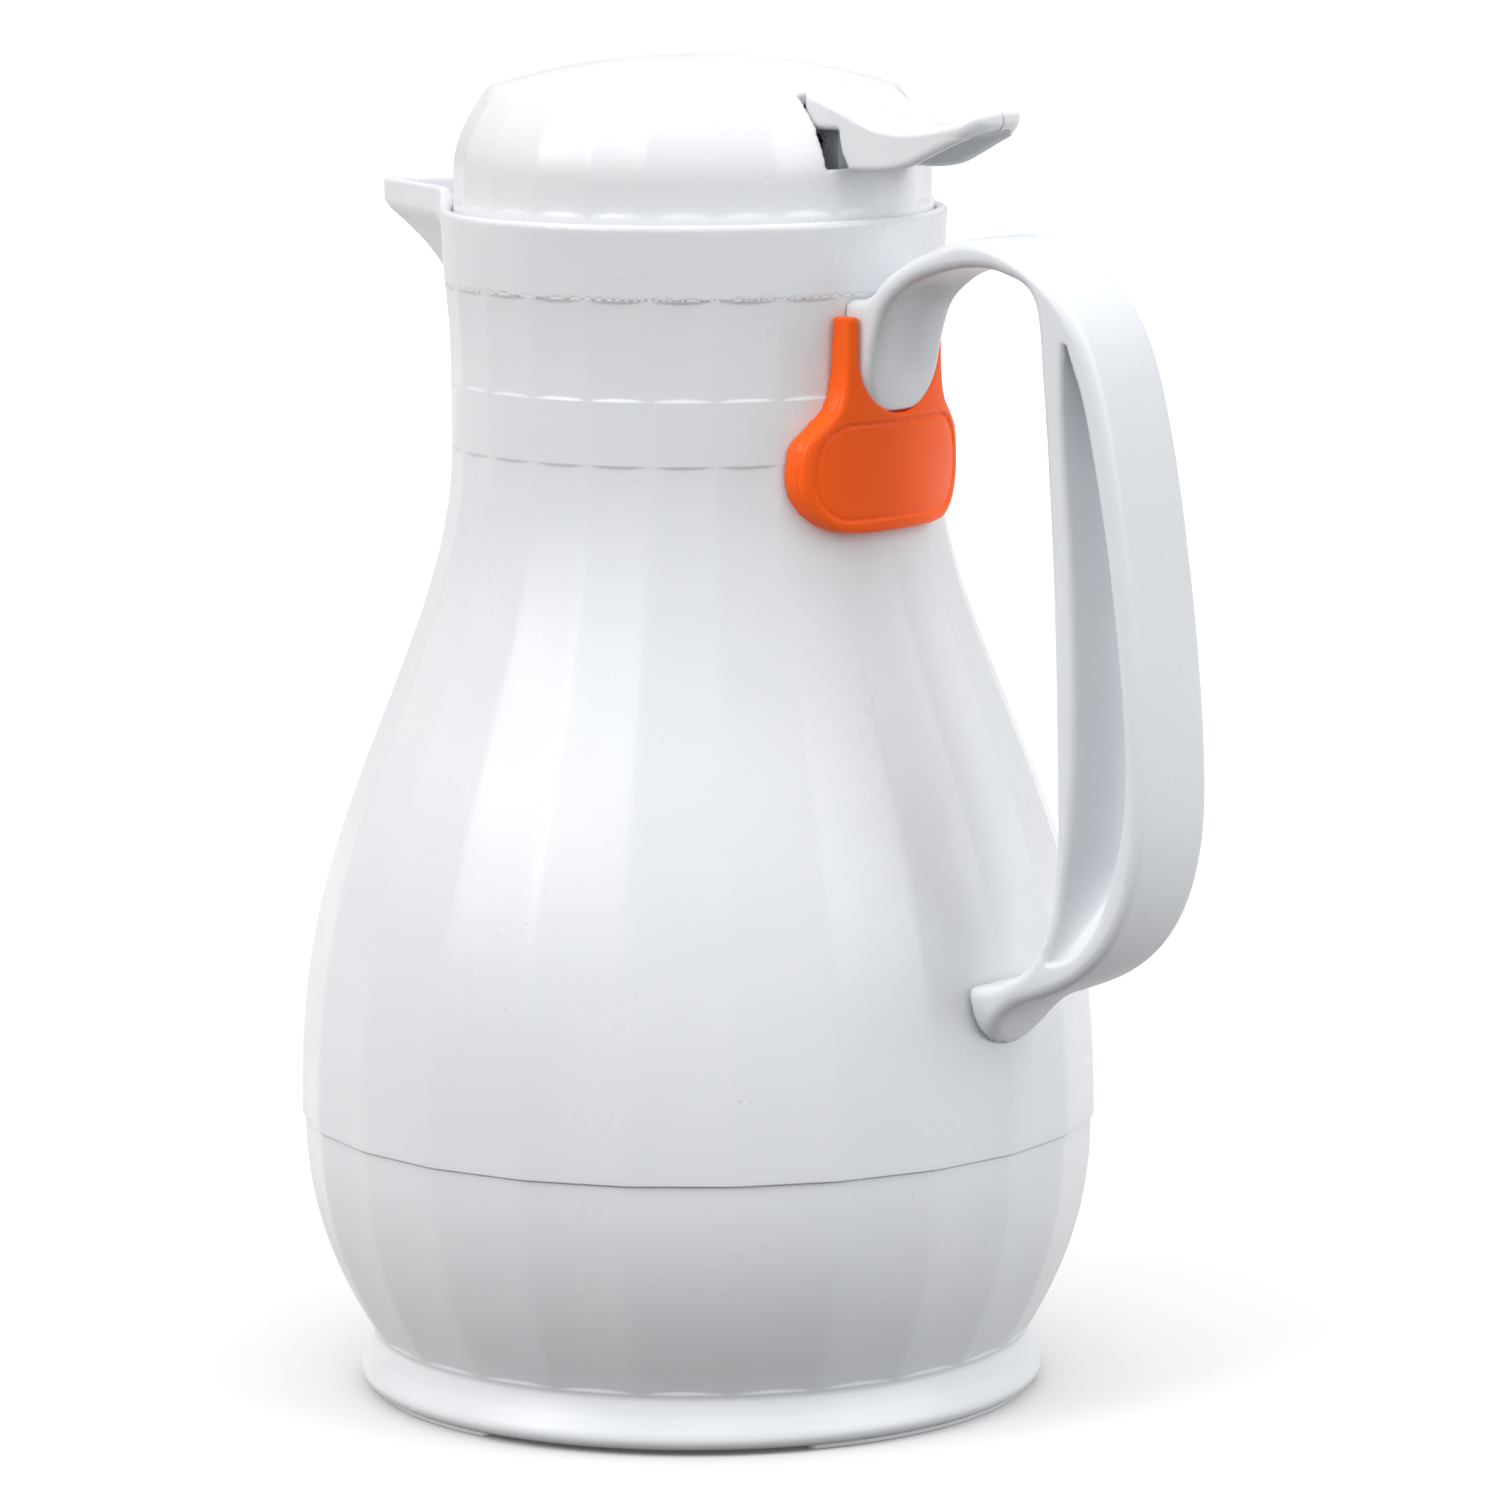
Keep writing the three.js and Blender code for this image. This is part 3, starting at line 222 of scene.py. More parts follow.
def net(field, box, step):
    """Closed quad mesh on the zero surface of a distance field, over a box, as points and faces."""
    low, high = np.asarray(box[0], float), np.asarray(box[1], float)
    size = np.ceil((high - low) / step).astype(int) + 1
    axes = [low[k] + step * np.arange(size[k]) for k in range(3)]
    grid = field(axes[0][:, None, None], axes[1][None, :, None], axes[2][None, None, :])
    grid = np.broadcast_to(grid, tuple(size)).copy()
    for k in range(3):
        edge = [slice(None)] * 3
        for end in (0, -1):
            edge[k] = end
            grid[tuple(edge)] = np.maximum(grid[tuple(edge)], step)
    cells = tuple(size - 1)
    total = np.zeros(cells + (3,))
    count = np.zeros(cells)
    for axis in range(3):
        others = [k for k in range(3) if k != axis]
        for du in (0, 1):
            for dv in (0, 1):
                start = [slice(0, c) for c in cells]
                start[others[0]] = slice(du, cells[others[0]] + du)
                start[others[1]] = slice(dv, cells[others[1]] + dv)
                stop = list(start)
                stop[axis] = slice(1, cells[axis] + 1)
                a = grid[tuple(start)]
                b = grid[tuple(stop)]
                hit = (a < 0) != (b < 0)
                t = np.where(hit, a / np.where(hit, a - b, 1.0), 0.0)
                total[..., axis] += t
                total[..., others[0]] += hit * du
                total[..., others[1]] += hit * dv
                count += hit
    active = count > 0
    index = np.full(cells, -1, int)
    index[active] = np.arange(active.sum())
    where = np.argwhere(active)
    points = low + step * (where + total[active] / count[active][:, None])
    faces = []
    for axis in range(3):
        u, v = [(1, 2), (2, 0), (0, 1)][axis]
        a = np.take(grid, range(0, size[axis] - 1), axis=axis)
        b = np.take(grid, range(1, size[axis]), axis=axis)
        hit = np.argwhere((a < 0) != (b < 0))
        good = (hit[:, u] > 0) & (hit[:, v] > 0) & (hit[:, u] < cells[u]) & (hit[:, v] < cells[v])
        hit = hit[good]
        flip = a[tuple(hit.T)] < 0
        corners = []
        for du, dv in ((1, 1), (0, 1), (0, 0), (1, 0)):
            cell = hit.copy()
            cell[:, u] -= du
            cell[:, v] -= dv
            corners.append(index[tuple(cell.T)])
        quads = np.stack(corners, axis=1)
        quads[~flip] = quads[~flip][:, ::-1]
        faces.append(quads)
    for _ in range(NET_PULLS):
        points = pull_to_surface(field, points, step)
    return points, np.concatenate(faces).tolist()


def pull_to_surface(field, points, step):
    """One Newton step of each point towards the field's zero surface, at most half a cell long."""
    h = 0.05
    value = field(*points.T)
    slope = np.stack([
        field(*(points + h * np.eye(3)[k]).T) - field(*(points - h * np.eye(3)[k]).T) for k in range(3)
    ], axis=1) / (2 * h)
    size = np.maximum((slope ** 2).sum(axis=1), 0.05)
    move = slope * (value / size)[:, None]
    length = np.linalg.norm(move, axis=1, keepdims=True)
    limit = 0.5 * step
    move *= np.minimum(1.0, limit / np.maximum(length, 1e-9))
    return points - move


def fan_box(*spans):
    """Box of a net, from three (low, high) spans."""
    return [s[0] for s in spans], [s[1] for s in spans]


# ---------------------------------------------------------------- facets
RIDGE_SHARPNESS = 520.0


def facet_share(theta):
    """Radius of a 24-sided outline with softened ridges, as a share of the ridge radius."""
    half = math.pi / PANELS
    local = (np.asarray(theta, float) + half) % (2 * half) - half
    side = half - np.abs(local)
    near = np.cos(side) ** RIDGE_SHARPNESS
    far = np.cos(2 * half - side) ** RIDGE_SHARPNESS
    ridge = math.cos(half) * 2 ** (1 / RIDGE_SHARPNESS)
    return ridge / (near + far) ** (1 / RIDGE_SHARPNESS)


def panel_angles():
    """Column angles, closer together where a ridge turns."""
    half = math.pi / PANELS
    inside = np.array([-1, -0.955, -0.91, -0.855, -0.78, -0.67, -0.5, -0.27,
                       0, 0.27, 0.5, 0.67, 0.78, 0.855, 0.91, 0.955])
    middles = (2 * np.arange(PANELS) + 1) * half
    return (middles[:, None] + half * inside[None, :]).ravel()


LEDGE_SLOPE = 0.62      # how steeply a panel's sunk face comes up to a round band


def panel_radius(radius, share, room):
    """Ridge radius less the panel's hollow, which may be no deeper than the ledge beside it lets it."""
    hollow = radius * (1 - share)
    limit = LEDGE_SLOPE * np.maximum(room, 0)
    soft = 0.05
    return radius - 0.5 * (hollow + limit - np.sqrt((hollow - limit) ** 2 + soft ** 2) + soft)


def skin(radius, levels, room):
    """Rings of points at each level: radius(z) on the ridges, room(z) the way to the nearest band."""
    theta = panel_angles()
    share = facet_share(theta)
    rows = []
    for z in levels:
        r = panel_radius(radius(z), share, room(z))
        rows.append(np.stack([r * np.cos(theta), r * np.sin(theta), np.full(theta.shape, z)], axis=1))
    return rows


def shoulder_radius(z):
    u = min(max((z - SEAM_Z) / (NECK_Z - SEAM_Z), 0.0), 1.0)
    share = 0.5 * (1 + math.cos(math.pi * u ** SHOULDER_POWER))
    flare = NECK_FLARE * min(max((z - FLARE_Z) / (COLLAR_Z - FLARE_Z), 0.0), 1.0) ** 2
    return NECK_R + (BODY_R - NECK_R) * share + flare


def bowl_radius(z):
    u = min(max((z - BOWL_Z) / (SEAM_Z - BOWL_Z), 0.0), 1.0)
    return BASE_R - (BASE_R - WAIST_R) * (1 - u) ** BOWL_POWER


EDGE = 1.1   # length over which a panel runs out into a round band


def jacket_room(z):
    """Height between a level and the nearest round band: the neck's or the collar's."""
    if z < (NECK_Z + BAND_Z) / 2:
        return NECK_Z - z
    return min(z - BAND_Z, COLLAR_Z - z)


LEVEL_STEP = 1.6        # between rings on a plain stretch
EDGE_REACH = 1.6        # each side of an edge, where rings stand closer
EDGE_STEP = 0.22
LEAST_STEP = 0.12


def fine_levels(low, high, edges):
    """Ring levels from low to high, close together near each edge."""
    out = list(np.arange(low, high, LEVEL_STEP)) + [high]
    for e in edges:
        out += list(np.arange(e - EDGE_REACH, e + EDGE_REACH, EDGE_STEP))
    out = sorted(z for z in out if low <= z <= high)
    kept = [out[0]]
    for z in out[1:]:
        if z - kept[-1] > LEAST_STEP:
            kept.append(z)
    return kept


def closed_skin(name, outer_rows, inner_rows):
    """Closed wall from rings up the outside and back down the inside."""
    rows = outer_rows + inner_rows
    points = np.concatenate(rows)
    return mesh_object(name, points, grid_faces(len(rows), len(rows[0]), True))


def rounded_end(radius, z, r, sign, facet):
    """Small roll at the end of a wall, as (radius, z, facet) triples."""
    out = []
    for k in range(1, 4):
        a = math.pi / 2 * k / 3
        out.append((radius - r * (1 - math.cos(a)), z + sign * r * math.sin(a), facet))
    return out


def triples_to_rows(triples):
    theta = panel_angles()
    share = facet_share(theta)
    rows = []
    for radius, z, facet in triples:
        r = radius * (1 + (share - 1) * facet)
        rows.append(np.stack([r * np.cos(theta), r * np.sin(theta), np.full(theta.shape, z)], axis=1))
    return rows


def make_jacket(material):
    levels = fine_levels(SEAM_Z + 0.3, JACKET_TOP, [NECK_Z - 0.5, BAND_Z + 0.5, COLLAR_Z - 0.9])
    start = triples_to_rows(rounded_end(BODY_R, SEAM_Z + 0.3, 0.3, -1, 1.0))[::-1]
    outer = start + skin(shoulder_radius, levels, jacket_room)
    back = list(np.linspace(JACKET_TOP, SEAM_Z, 40))
    inner = skin(lambda z: shoulder_radius(z) - WALL, back, lambda z: 9.0)
    obj = closed_skin("jacket_shell", outer, inner)
    return finish_piece(obj, "jug", ["outer_jacket"], material)


def bowl_room(z):
    return z - BOWL_Z - 0.5


# Pairs are millimetres out from the foot's radius and up from its lower edge.
FOOT_OUTLINE = [(-2.6, 0.0), (-1.5, 0.15), (-0.55, 0.9), (0.0, 2.2), (-0.25, 3.5), (-1.1, 5.1), (-2.2, 7.2)]


def make_base(material):
    levels = fine_levels(BOWL_Z, SEAM_Z - 0.6, [BOWL_Z + 1.3])
    foot = [(r, z, 0.0) for r, z in spline([(FOOT_R + dr, FOOT_Z + dz) for dr, dz in FOOT_OUTLINE], 22)]
    waist = [(WAIST_R + 0.1, FOOT_Z + 9.2, 0.0), (WAIST_R - 0.25, BOWL_Z - 1.3, 0.0),
             (WAIST_R - 0.3, BOWL_Z - 0.6, 0.0)]
    outer = triples_to_rows(foot + waist) + skin(bowl_radius, levels, bowl_room)
    top = SEAM_Z - 0.15
    roll = triples_to_rows(rounded_end(BASE_R, top - 0.3, 0.3, 1, 1.0))
    lip = triples_to_rows([(BASE_R - WALL - 0.2, top, 1.0), (BASE_R - WALL - 0.2, top + 3.6, 1.0),
                           (BASE_R - 2 * WALL, top + 3.6, 1.0), (BASE_R - 2 * WALL, top - 5, 1.0)])
    inner = skin(lambda z: bowl_radius(z) - WALL, list(np.linspace(SEAM_Z - 12, BOWL_Z, 14)), lambda z: 9.0)
    close = triples_to_rows([(FOOT_R - 6.6, BOWL_Z - 4, 0.0), (FOOT_R - 6.6, FOOT_Z, 0.0)])
    obj = closed_skin("base_bowl", outer + roll + lip, inner + close)
    return finish_piece(obj, "jug", ["base_shell"], material)


def make_arc_foot(index, material):
    """Low bearing strip under the foot: a sixth of a turn with round ends."""
    middle = 2 * math.pi * index / 3
    half = math.radians(30)
    outer, inner = FOOT_R - 2.2, FOOT_R - 5.4
    centre, r = (outer + inner) / 2, (outer - inner) / 2

    def field(x, y, z):
        angle = np.arctan2(y, x) - middle
        angle = (angle + math.pi) % (2 * math.pi) - math.pi
        rho = np.sqrt(x * x + y * y)
        over = np.maximum(np.abs(angle) - half, 0) * rho
        flat = np.sqrt((rho - centre) ** 2 + over ** 2) - r
        return rounded_and(flat, np.abs(z - 0.8) - 0.8, 0.3)

    reach = outer + 3
    ends = [middle - half, middle, middle + half]
    xs = [reach * math.cos(a) for a in ends] + [inner * math.cos(a) * 0.97 for a in ends]
    ys = [reach * math.sin(a) for a in ends] + [inner * math.sin(a) * 0.97 for a in ends]
    spans = fan_box((min(xs) - 3, max(xs) + 3), (min(ys) - 3, max(ys) + 3), (-1, 2.6))
    points, faces = net(field, spans, 0.5)
    obj = mesh_object(f"arc_foot_{index + 1}", points, faces)
    return finish_piece(obj, "jug", [], material)


# ---------------------------------------------------------------- the body as a field
SHOULDER_TABLE = np.linspace(SEAM_Z, COLLAR_Z, 300)
SHOULDER_RADII = np.array([shoulder_radius(z) for z in SHOULDER_TABLE])


def neck_distance(x, y, z):
    rho = np.sqrt(x * x + y * y)
    flat = smoothstep(z, BAND_Z, BAND_Z + EDGE)
    share = 1 + (facet_share(np.arctan2(y, x)) - 1) * flat
    return rho / share - np.interp(z, SHOULDER_TABLE, SHOULDER_RADII)


# ---------------------------------------------------------------- collar and spout
SPOUT_LOW = COLLAR_Z - 20.0
SPOUT_X = -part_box("pour_collar")[0].x / MM
SPOUT_TOP = level("pour_collar", True)
# Pairs are millimetres up from the collar's lower edge and out from the axis.
KEEL = [(-20.0, 54.0), (-15.2, 58.6), (-10.2, 64.0), (-4.0, 69.6), (0.0, 73.2), (2.6, 75.8), (5.2, 78.9),
        (9.2, 84.9), (12.4, 90.4), (14.2, 92.2), (16.1, 92.4), (22.0, 92.4)]
KEEL_LEVELS = [COLLAR_Z + up for up, _ in KEEL]
KEEL_REACH = [reach for _, reach in KEEL]
FLANK_IN = 0.5          # sine of the flank's half taper in plan
FLANK_OUT = math.cos(math.asin(FLANK_IN))
NOSE_SHARE = 0.586      # how far the rounding draws the keel back, as a share of its radius
LIP_ROOT = (41.0, 53.0)  # where the top edge leaves the collar's rim, out from the axis
FAIRING_R = 6.0
SPOUT_WALL = 2.1
FAIRING_SUNK = 0.35     # of the fairing's sheet inside the neck's surface
FAIRING_DEEP = 1.3


def beak_distance(x, y, z, inset):
    """Wedge of the spout: two flat flanks meeting in a round keel."""
    reach = np.interp(z, KEEL_LEVELS, KEEL_REACH)
    nose = 8.0 + 0.34 * np.clip(RIM_Z - z, 0, 40)
    side = (reach + NOSE_SHARE * nose) * FLANK_IN
    near = -x * FLANK_IN + np.abs(y) * FLANK_OUT - side
    far = -x * FLANK_IN - np.abs(y) * FLANK_OUT - side
    corner = np.sqrt(np.maximum(near + nose, 0) ** 2 + np.maximum(far + nose, 0) ** 2)
    wedge = corner + np.minimum(np.maximum(near, far) + nose, 0) - nose
    lean = 1.0 / (1.0 + 0.55 * smoothstep(-z, -RIM_Z, -RIM_Z + 8))
    return wedge * np.where(wedge > 0, 1.0, lean) + inset


def spout_lip(x):
    """Level of the spout's top edge: nearly straight, running down on to the collar's rim at its root."""
    root = smoothstep(-x, *LIP_ROOT)
    return RIM_Z + (SPOUT_TOP - RIM_Z) * root - 0.02 * np.clip(-x - LIP_ROOT[1], 0, 40)


def collar_field(x, y, z):
    rho = np.sqrt(x * x + y * y)
    lift = np.clip((z - COLLAR_Z) / (RIM_Z - COLLAR_Z), 0, 1)
    outer = rho - (COLLAR_R - 0.9 + 0.9 * lift)
    under = COLLAR_Z - 0.03 - z
    ring = np.maximum(rounded_and(outer, z - RIM_Z, 1.0), under)
    spigot = np.maximum(np.maximum(rho - (NECK_R - WALL) * 0.985, z - COLLAR_Z - 1), COLLAR_Z - 10 - z)
    beak = np.maximum(beak_distance(x, y, z, 0.0), x + 25.0)
    depth = neck_distance(x, y, z)
    wall = np.minimum(depth + FAIRING_SUNK, np.maximum(outer, under))
    fairing = np.maximum(filleted_or(beak, wall, FAIRING_R), x + 20.0)
    fairing = rounded_and(fairing, z - spout_lip(x), 0.95)
    neck = np.maximum(depth + FAIRING_DEEP, z - COLLAR_Z - 0.05)
    fairing = np.maximum(np.maximum(fairing, -neck), SPOUT_LOW - 6 - z)
    body = np.minimum(np.minimum(ring, spigot), fairing)
    trough = np.maximum(beak_distance(x, y, z, SPOUT_WALL), x + 30.0)
    floor_z = COLLAR_Z - 6.0 + 0.36 * np.clip(-x - BORE_R, 0, 60)
    body = rounded_cut(body, rounded_and(trough, floor_z - z, 3.0), 0.7)
    rebate = np.maximum(rho - REBATE_R, REBATE_Z - z)
    return rounded_cut(body, np.minimum(rebate, rho - BORE_R), 0.6)


def make_collar(material):
    across = COLLAR_R + 2
    spans = fan_box((-SPOUT_X - 2, across), (-across, across), (SPOUT_LOW - 7, SPOUT_TOP + 2))
    points, faces = net(collar_field, spans, 0.8)
    obj = mesh_object("collar_spout", points, faces)
    return finish_piece(obj, "jug", ["pour_collar"], material)


# ---------------------------------------------------------------- handle
# Pairs are millimetres in from the strap's outer face and down from the collar's lower edge.
STRAP_OUTSIDE = [(80.0, 0.6), (76.5, 0.5), (73.8, -0.4), (70.3, -4.0), (64.8, -7.6), (59.3, -10.3),
                 (48.3, -13.9), (39.8, -13.1), (31.2, -9.4), (23.8, -4.2), (18.2, 2.0), (13.8, 10.4),
                 (8.6, 29.2), (3.4, 60.7), (0.8, 85.2), (0.0, 104.2), (0.8, 115.2), (3.6, 126.2),
                 (8.3, 135.2),
                 (14.2, 141.6), (21.4, 146.4), (29.0, 149.6), (34.6, 151.6), (38.9, 154.6), (42.2, 159.2),
                 (44.6, 163.4)]
STRAP_INSIDE = [(52.0, 147.2), (48.3, 148.3), (42.0, 147.7), (37.6, 146.0), (32.3, 143.0), (29.4, 139.6),
                (25.6, 131.4), (23.8, 117.6), (23.7, 105.2), (24.7, 62.1), (26.5, 30.1), (28.1, 11.0),
                (28.6, 4.7), (29.9, -1.4), (32.4, -4.4), (36.9, -6.2), (42.0, -7.4), (49.8, -7.2),
                (60.5, -4.5),
                (64.4, -2.3), (69.4, 2.3), (72.2, 9.4), (73.9, 17.7), (74.9, 25.4)]
# The pocket's two edges, as millimetres down from the collar's lower edge and in from the outer face.
POCKET_BACK = [(-7.0, 20.7), (19.0, 21.7), (61.7, 18.9), (104.7, 18.9), (133.4, 23.2), (140.3, 26.4),
               (142.0, 27.2)]
POCKET_FRONT = [(-7.0, 21.7), (4.0, 21.3), (9.0, 19.8), (18.8, 16.1), (60.7, 7.9), (103.3, 4.6),
                (122.0, 8.4), (132.2, 12.6),
                (139.5, 19.2), (142.0, 25.4)]
POCKET_TOP = 7.2
POCKET_LOW = 141.2
POCKET_DEPTH = 10.4
STRAP_EDGE = 2.4
DISH_DEPTH = 1.9         # of the thumb dish down the pendant
PENDANT_WIDER = 0.3      # than the strap, on each side


def strap_points(pairs, count):
    pairs = spline(pairs, count)
    return np.stack([STRAP_X - pairs[:, 0], COLLAR_Z - pairs[:, 1]], axis=1)


STRAP_TABLE = tabulated(np.concatenate([
    strap_points(STRAP_OUTSIDE, 90),
    [(82.0, STRAP_LOW - 3), (82.0, STRAP_LOW + 14)],
    strap_points(STRAP_INSIDE, 80),
    [(52.0, COLLAR_Z - 26), (52.0, COLLAR_Z - 1.0)],
]))


def pocket_line(pairs):
    """Down and across positions of one edge of the pocket, closely spaced."""
    return spline(pairs, 60).T


POCKET_INNER = pocket_line(POCKET_BACK)
POCKET_OUTER = pocket_line(POCKET_FRONT)


def pocket_lines(z):
    down = COLLAR_Z - z
    return STRAP_X - np.interp(down, *POCKET_INNER), STRAP_X - np.interp(down, *POCKET_OUTER)


def pocket_field(x, y, z):
    """Scooped side pocket: shallow along its inner edge, deep against the outer flange."""
    inner, outer = pocket_lines(z)
    top = COLLAR_Z - POCKET_TOP
    low = COLLAR_Z - POCKET_LOW
    share = np.clip((x - inner) / np.maximum(outer - inner, 0.5), 0, 1)
    ends = (0.12 + 0.88 * smoothstep(z, low - 1, low + 22)) * (1 - 0.55 * smoothstep(z, top - 18, top + 2))
    depth = POCKET_DEPTH * ends * np.sin(math.pi / 2 * np.clip(share / 0.62, 0, 1)) ** 1.1
    flank = np.maximum(inner - x, x - outer)
    flank = rounded_and(np.maximum(flank, z - top), low - z, 3.0)
    return np.maximum(flank, (STRAP_HALF - depth) - np.abs(y))


def handle_field(x, y, z):
    side = STRAP_TABLE(x, z)
    crown = 0.5 * (y / STRAP_HALF) ** 2 * smoothstep(x, 70, 95)
    near_neck = 1 - smoothstep(x, NECK_R + 12, NECK_R + 18)
    over = 1 - smoothstep(z, COLLAR_Z - 1, COLLAR_Z + 6)
    dish_levels = smoothstep(z, COLLAR_Z - 24, COLLAR_Z - 15) * over
    dish = DISH_DEPTH * np.exp(-(y / 6.2) ** 2) * near_neck * dish_levels
    pendant = 1 - smoothstep(x, NECK_R + 6, NECK_R + 26)
    narrow = -PENDANT_WIDER * pendant * (1 - smoothstep(z, COLLAR_Z + 2, COLLAR_Z + 13))
    foot = smoothstep(-z, -(STRAP_LOW + 20), -(STRAP_LOW + 10))
    narrow = narrow * (x < 80) + 0.9 * foot
    upper = np.minimum(z - (COLLAR_Z - 25.1 + STRAP_HALF - 2.0), 0)
    lower = np.minimum(z - (STRAP_LOW + STRAP_HALF - 0.9), 0)
    drop = np.where(x < 76, upper, lower)
    across = np.sqrt(y * y + drop * drop) - (STRAP_HALF - narrow)
    body = rounded_and(side + crown + dish, across, STRAP_EDGE)
    body = rounded_cut(body, pocket_field(x, y, z), 0.9)
    return np.maximum(body, 0.12 - neck_distance(x, y, z))


def make_handle(material):
    spans = fan_box((50, STRAP_X + 2), (-STRAP_HALF - 1.5, STRAP_HALF + 1.5), (STRAP_LOW - 3, ARCH_Z + 2))
    points, faces = net(handle_field, spans, 0.8)
    obj = mesh_object("strap", points, faces)
    return finish_piece(obj, "jug", ["strap_handle"], material)


# ---------------------------------------------------------------- identification tag
TAG_FACE_R = TAG_R - 1.8
TAG_PLATE = 5.6
NOTCH = 13.3
NOTCH_Z = COLLAR_Z - 25.0 + 12.4
ARM_HALF = 16.4
PAD_HALF = 26.6
TAG_RIGHT_SIDE = [(ARM_HALF, 0.0), (ARM_HALF, 8.0), (ARM_HALF + 0.4, 15.5), (ARM_HALF + 1.9, 20.0),
                  (ARM_HALF + 5.6, 23.6), (PAD_HALF - 1.1, 27.2), (PAD_HALF, 32.0), (PAD_HALF - 0.3, 37.6),
                  (PAD_HALF - 3.3, 43.0), (PAD_HALF - 8.4, 46.4), (PAD_HALF - 15.0, 47.3)]


def tag_outline():
    side = spline(TAG_RIGHT_SIDE, 70)
    right = np.stack([side[:, 0], TAG_TOP - side[:, 1]], axis=1)
    left = right[::-1] * np.array([-1, 1])
    return np.concatenate([right, left])


TAG_TABLE = tabulated(tag_outline())


def tag_field(x, y, z):
    rho = np.sqrt(x * x + y * y)
    front = TAG_TABLE(y, z)
    notch = np.sqrt(y * y + np.minimum(z - NOTCH_Z, 0) ** 2) - NOTCH
    front = rounded_and(front, -notch, 0.6)
    face = rho - TAG_FACE_R
    plate = rounded_and(front, face, 1.0)
    middle = (TAG_LOW + 3.1 + TAG_TOP - 23.6) / 2
    tall = (TAG_TOP - 23.6 - TAG_LOW - 3.1) / 2
    pad = rounded_and(np.abs(y) - (PAD_HALF - 2.8), np.abs(z - middle) - tall, 9.0)
    groove = np.abs(pad) - 0.35
    plate = rounded_cut(plate, np.maximum(groove, -face - 0.5), 0.12)
    sunk = np.maximum(pad + 0.1, -face - 0.22)
    plate = np.maximum(plate, -sunk)
    step_line = np.maximum(np.abs(rho - (TAG_FACE_R - 1.7)) - 0.28, -front - 0.25)
    plate = np.maximum(plate, -step_line)
    return np.maximum(plate, TAG_FACE_R - TAG_PLATE - rho)


def make_tag(material):
    inner = math.sqrt((TAG_FACE_R - TAG_PLATE) ** 2 - PAD_HALF ** 2)
    spans = fan_box((inner - 1.0, TAG_R), (-PAD_HALF - 1.5, PAD_HALF + 1.5), (TAG_LOW - 1.5, TAG_TOP + 1.5))

    def seated(x, y, z):
        return np.maximum(tag_field(x, y, z), 0.3 - neck_distance(x, y, z + 6.0))

    points, faces = net(seated, spans, 0.5)
    obj = mesh_object("tag_plate", points, faces)
    return finish_piece(obj, "tag", ["id_tag"], material)


# ---------------------------------------------------------------- lid and lever
SHOULDER_TOP = LID_TOP - 8.0
LID_WALL = 2.2
LEVER_ROOT = 14.6
CUT_LOW = REBATE_Z + 14.0
CUT_X = 41.6
SLOT_TOP = CUT_LOW + 8.0


def lid_side(z):
    start = REBATE_Z + 12.0
    u = np.clip((z - start) / (SHOULDER_TOP - start), 0, 1)
    return LID_R - (LID_R - 46.6) * u ** 1.8


def lid_outline():
    low = LID_Z + 0.05
    side = [(lid_side(z) - 0.05, z) for z in np.linspace(low + 0.8, SHOULDER_TOP - 1.4, 18)]
    shoulder = spline([(lid_side(SHOULDER_TOP - 1.4) - 0.05, SHOULDER_TOP - 1.4), (46.4, SHOULDER_TOP - 0.1),
                       (45.3, SHOULDER_TOP + 1.1), (43.0, SHOULDER_TOP + 1.85), (30.6, SHOULDER_TOP + 5.0),
                       (13.0, SHOULDER_TOP + 7.55), (0.0, SHOULDER_TOP + 8.0)], 34)[1:]
    top = [tuple(p) for p in shoulder]
    inner = []
    for r, z in reversed(side + top):
        under = z - LID_WALL * (0.15 + 0.85 * (z > SHOULDER_TOP - 3))
        inner.append((max(r - LID_WALL * min(1.0, r / 40.0), 0.0), max(under, low)))
    past_axis = [(-5.0, SHOULDER_TOP + 8.0), (-5.0, inner[0][1])]
    return np.array([(LID_R - 0.55, low)] + side + top + past_axis + inner)


LID_TABLE = tabulated(lid_outline())


def lid_field(x, y, z):
    rho = np.sqrt(x * x + y * y)
    fade = 1 - smoothstep(z, SHOULDER_TOP - 2.6, SHOULDER_TOP + 0.8)
    share = 1 + (facet_share(np.arctan2(y, x)) - 1) * fade * 1.1
    hollow = LID_R - panel_radius(LID_R, share, z - LID_Z - 3.9)
    shell = LID_TABLE(rho + hollow, z)
    opening = np.maximum(np.abs(y) - LEVER_ROOT - 0.6, z - SLOT_TOP)
    slot = np.minimum(opening, LEVER_PLAN(x, y) - 0.6)
    slot = rounded_and(np.maximum(slot, CUT_X - x), CUT_LOW - z, 0.8)
    return rounded_cut(shell, slot, 0.5)


def make_lid(material):
    spans = fan_box((-LID_R - 2, LID_R + 2), (-LID_R - 2, LID_R + 2), (LID_Z - 1.5, LID_TOP + 1.5))
    points, faces = net(lid_field, spans, 0.6)
    obj = mesh_object("lid_shell", points, faces)
    return finish_piece(obj, "lid", ["lid_cap"], material)


# Pairs are distances from the axis and heights over the lid's shoulder.
LEVER_UPPER = [(43.6, 2.3), (46.3, 1.5), (50.0, -0.1), (55.0, -2.1), (60.8, -4.0), (67.7, -5.0), (74.8, -4.4),
               (81.9, -2.9), (86.3, -1.4), (87.6, -2.2)]
LEVER_LOWER = [(87.8, -4.3), (84.0, -7.0), (79.0, -9.2), (74.0, -11.6), (68.5, -13.9), (62.0, -14.9),
               (54.5, -15.0)]
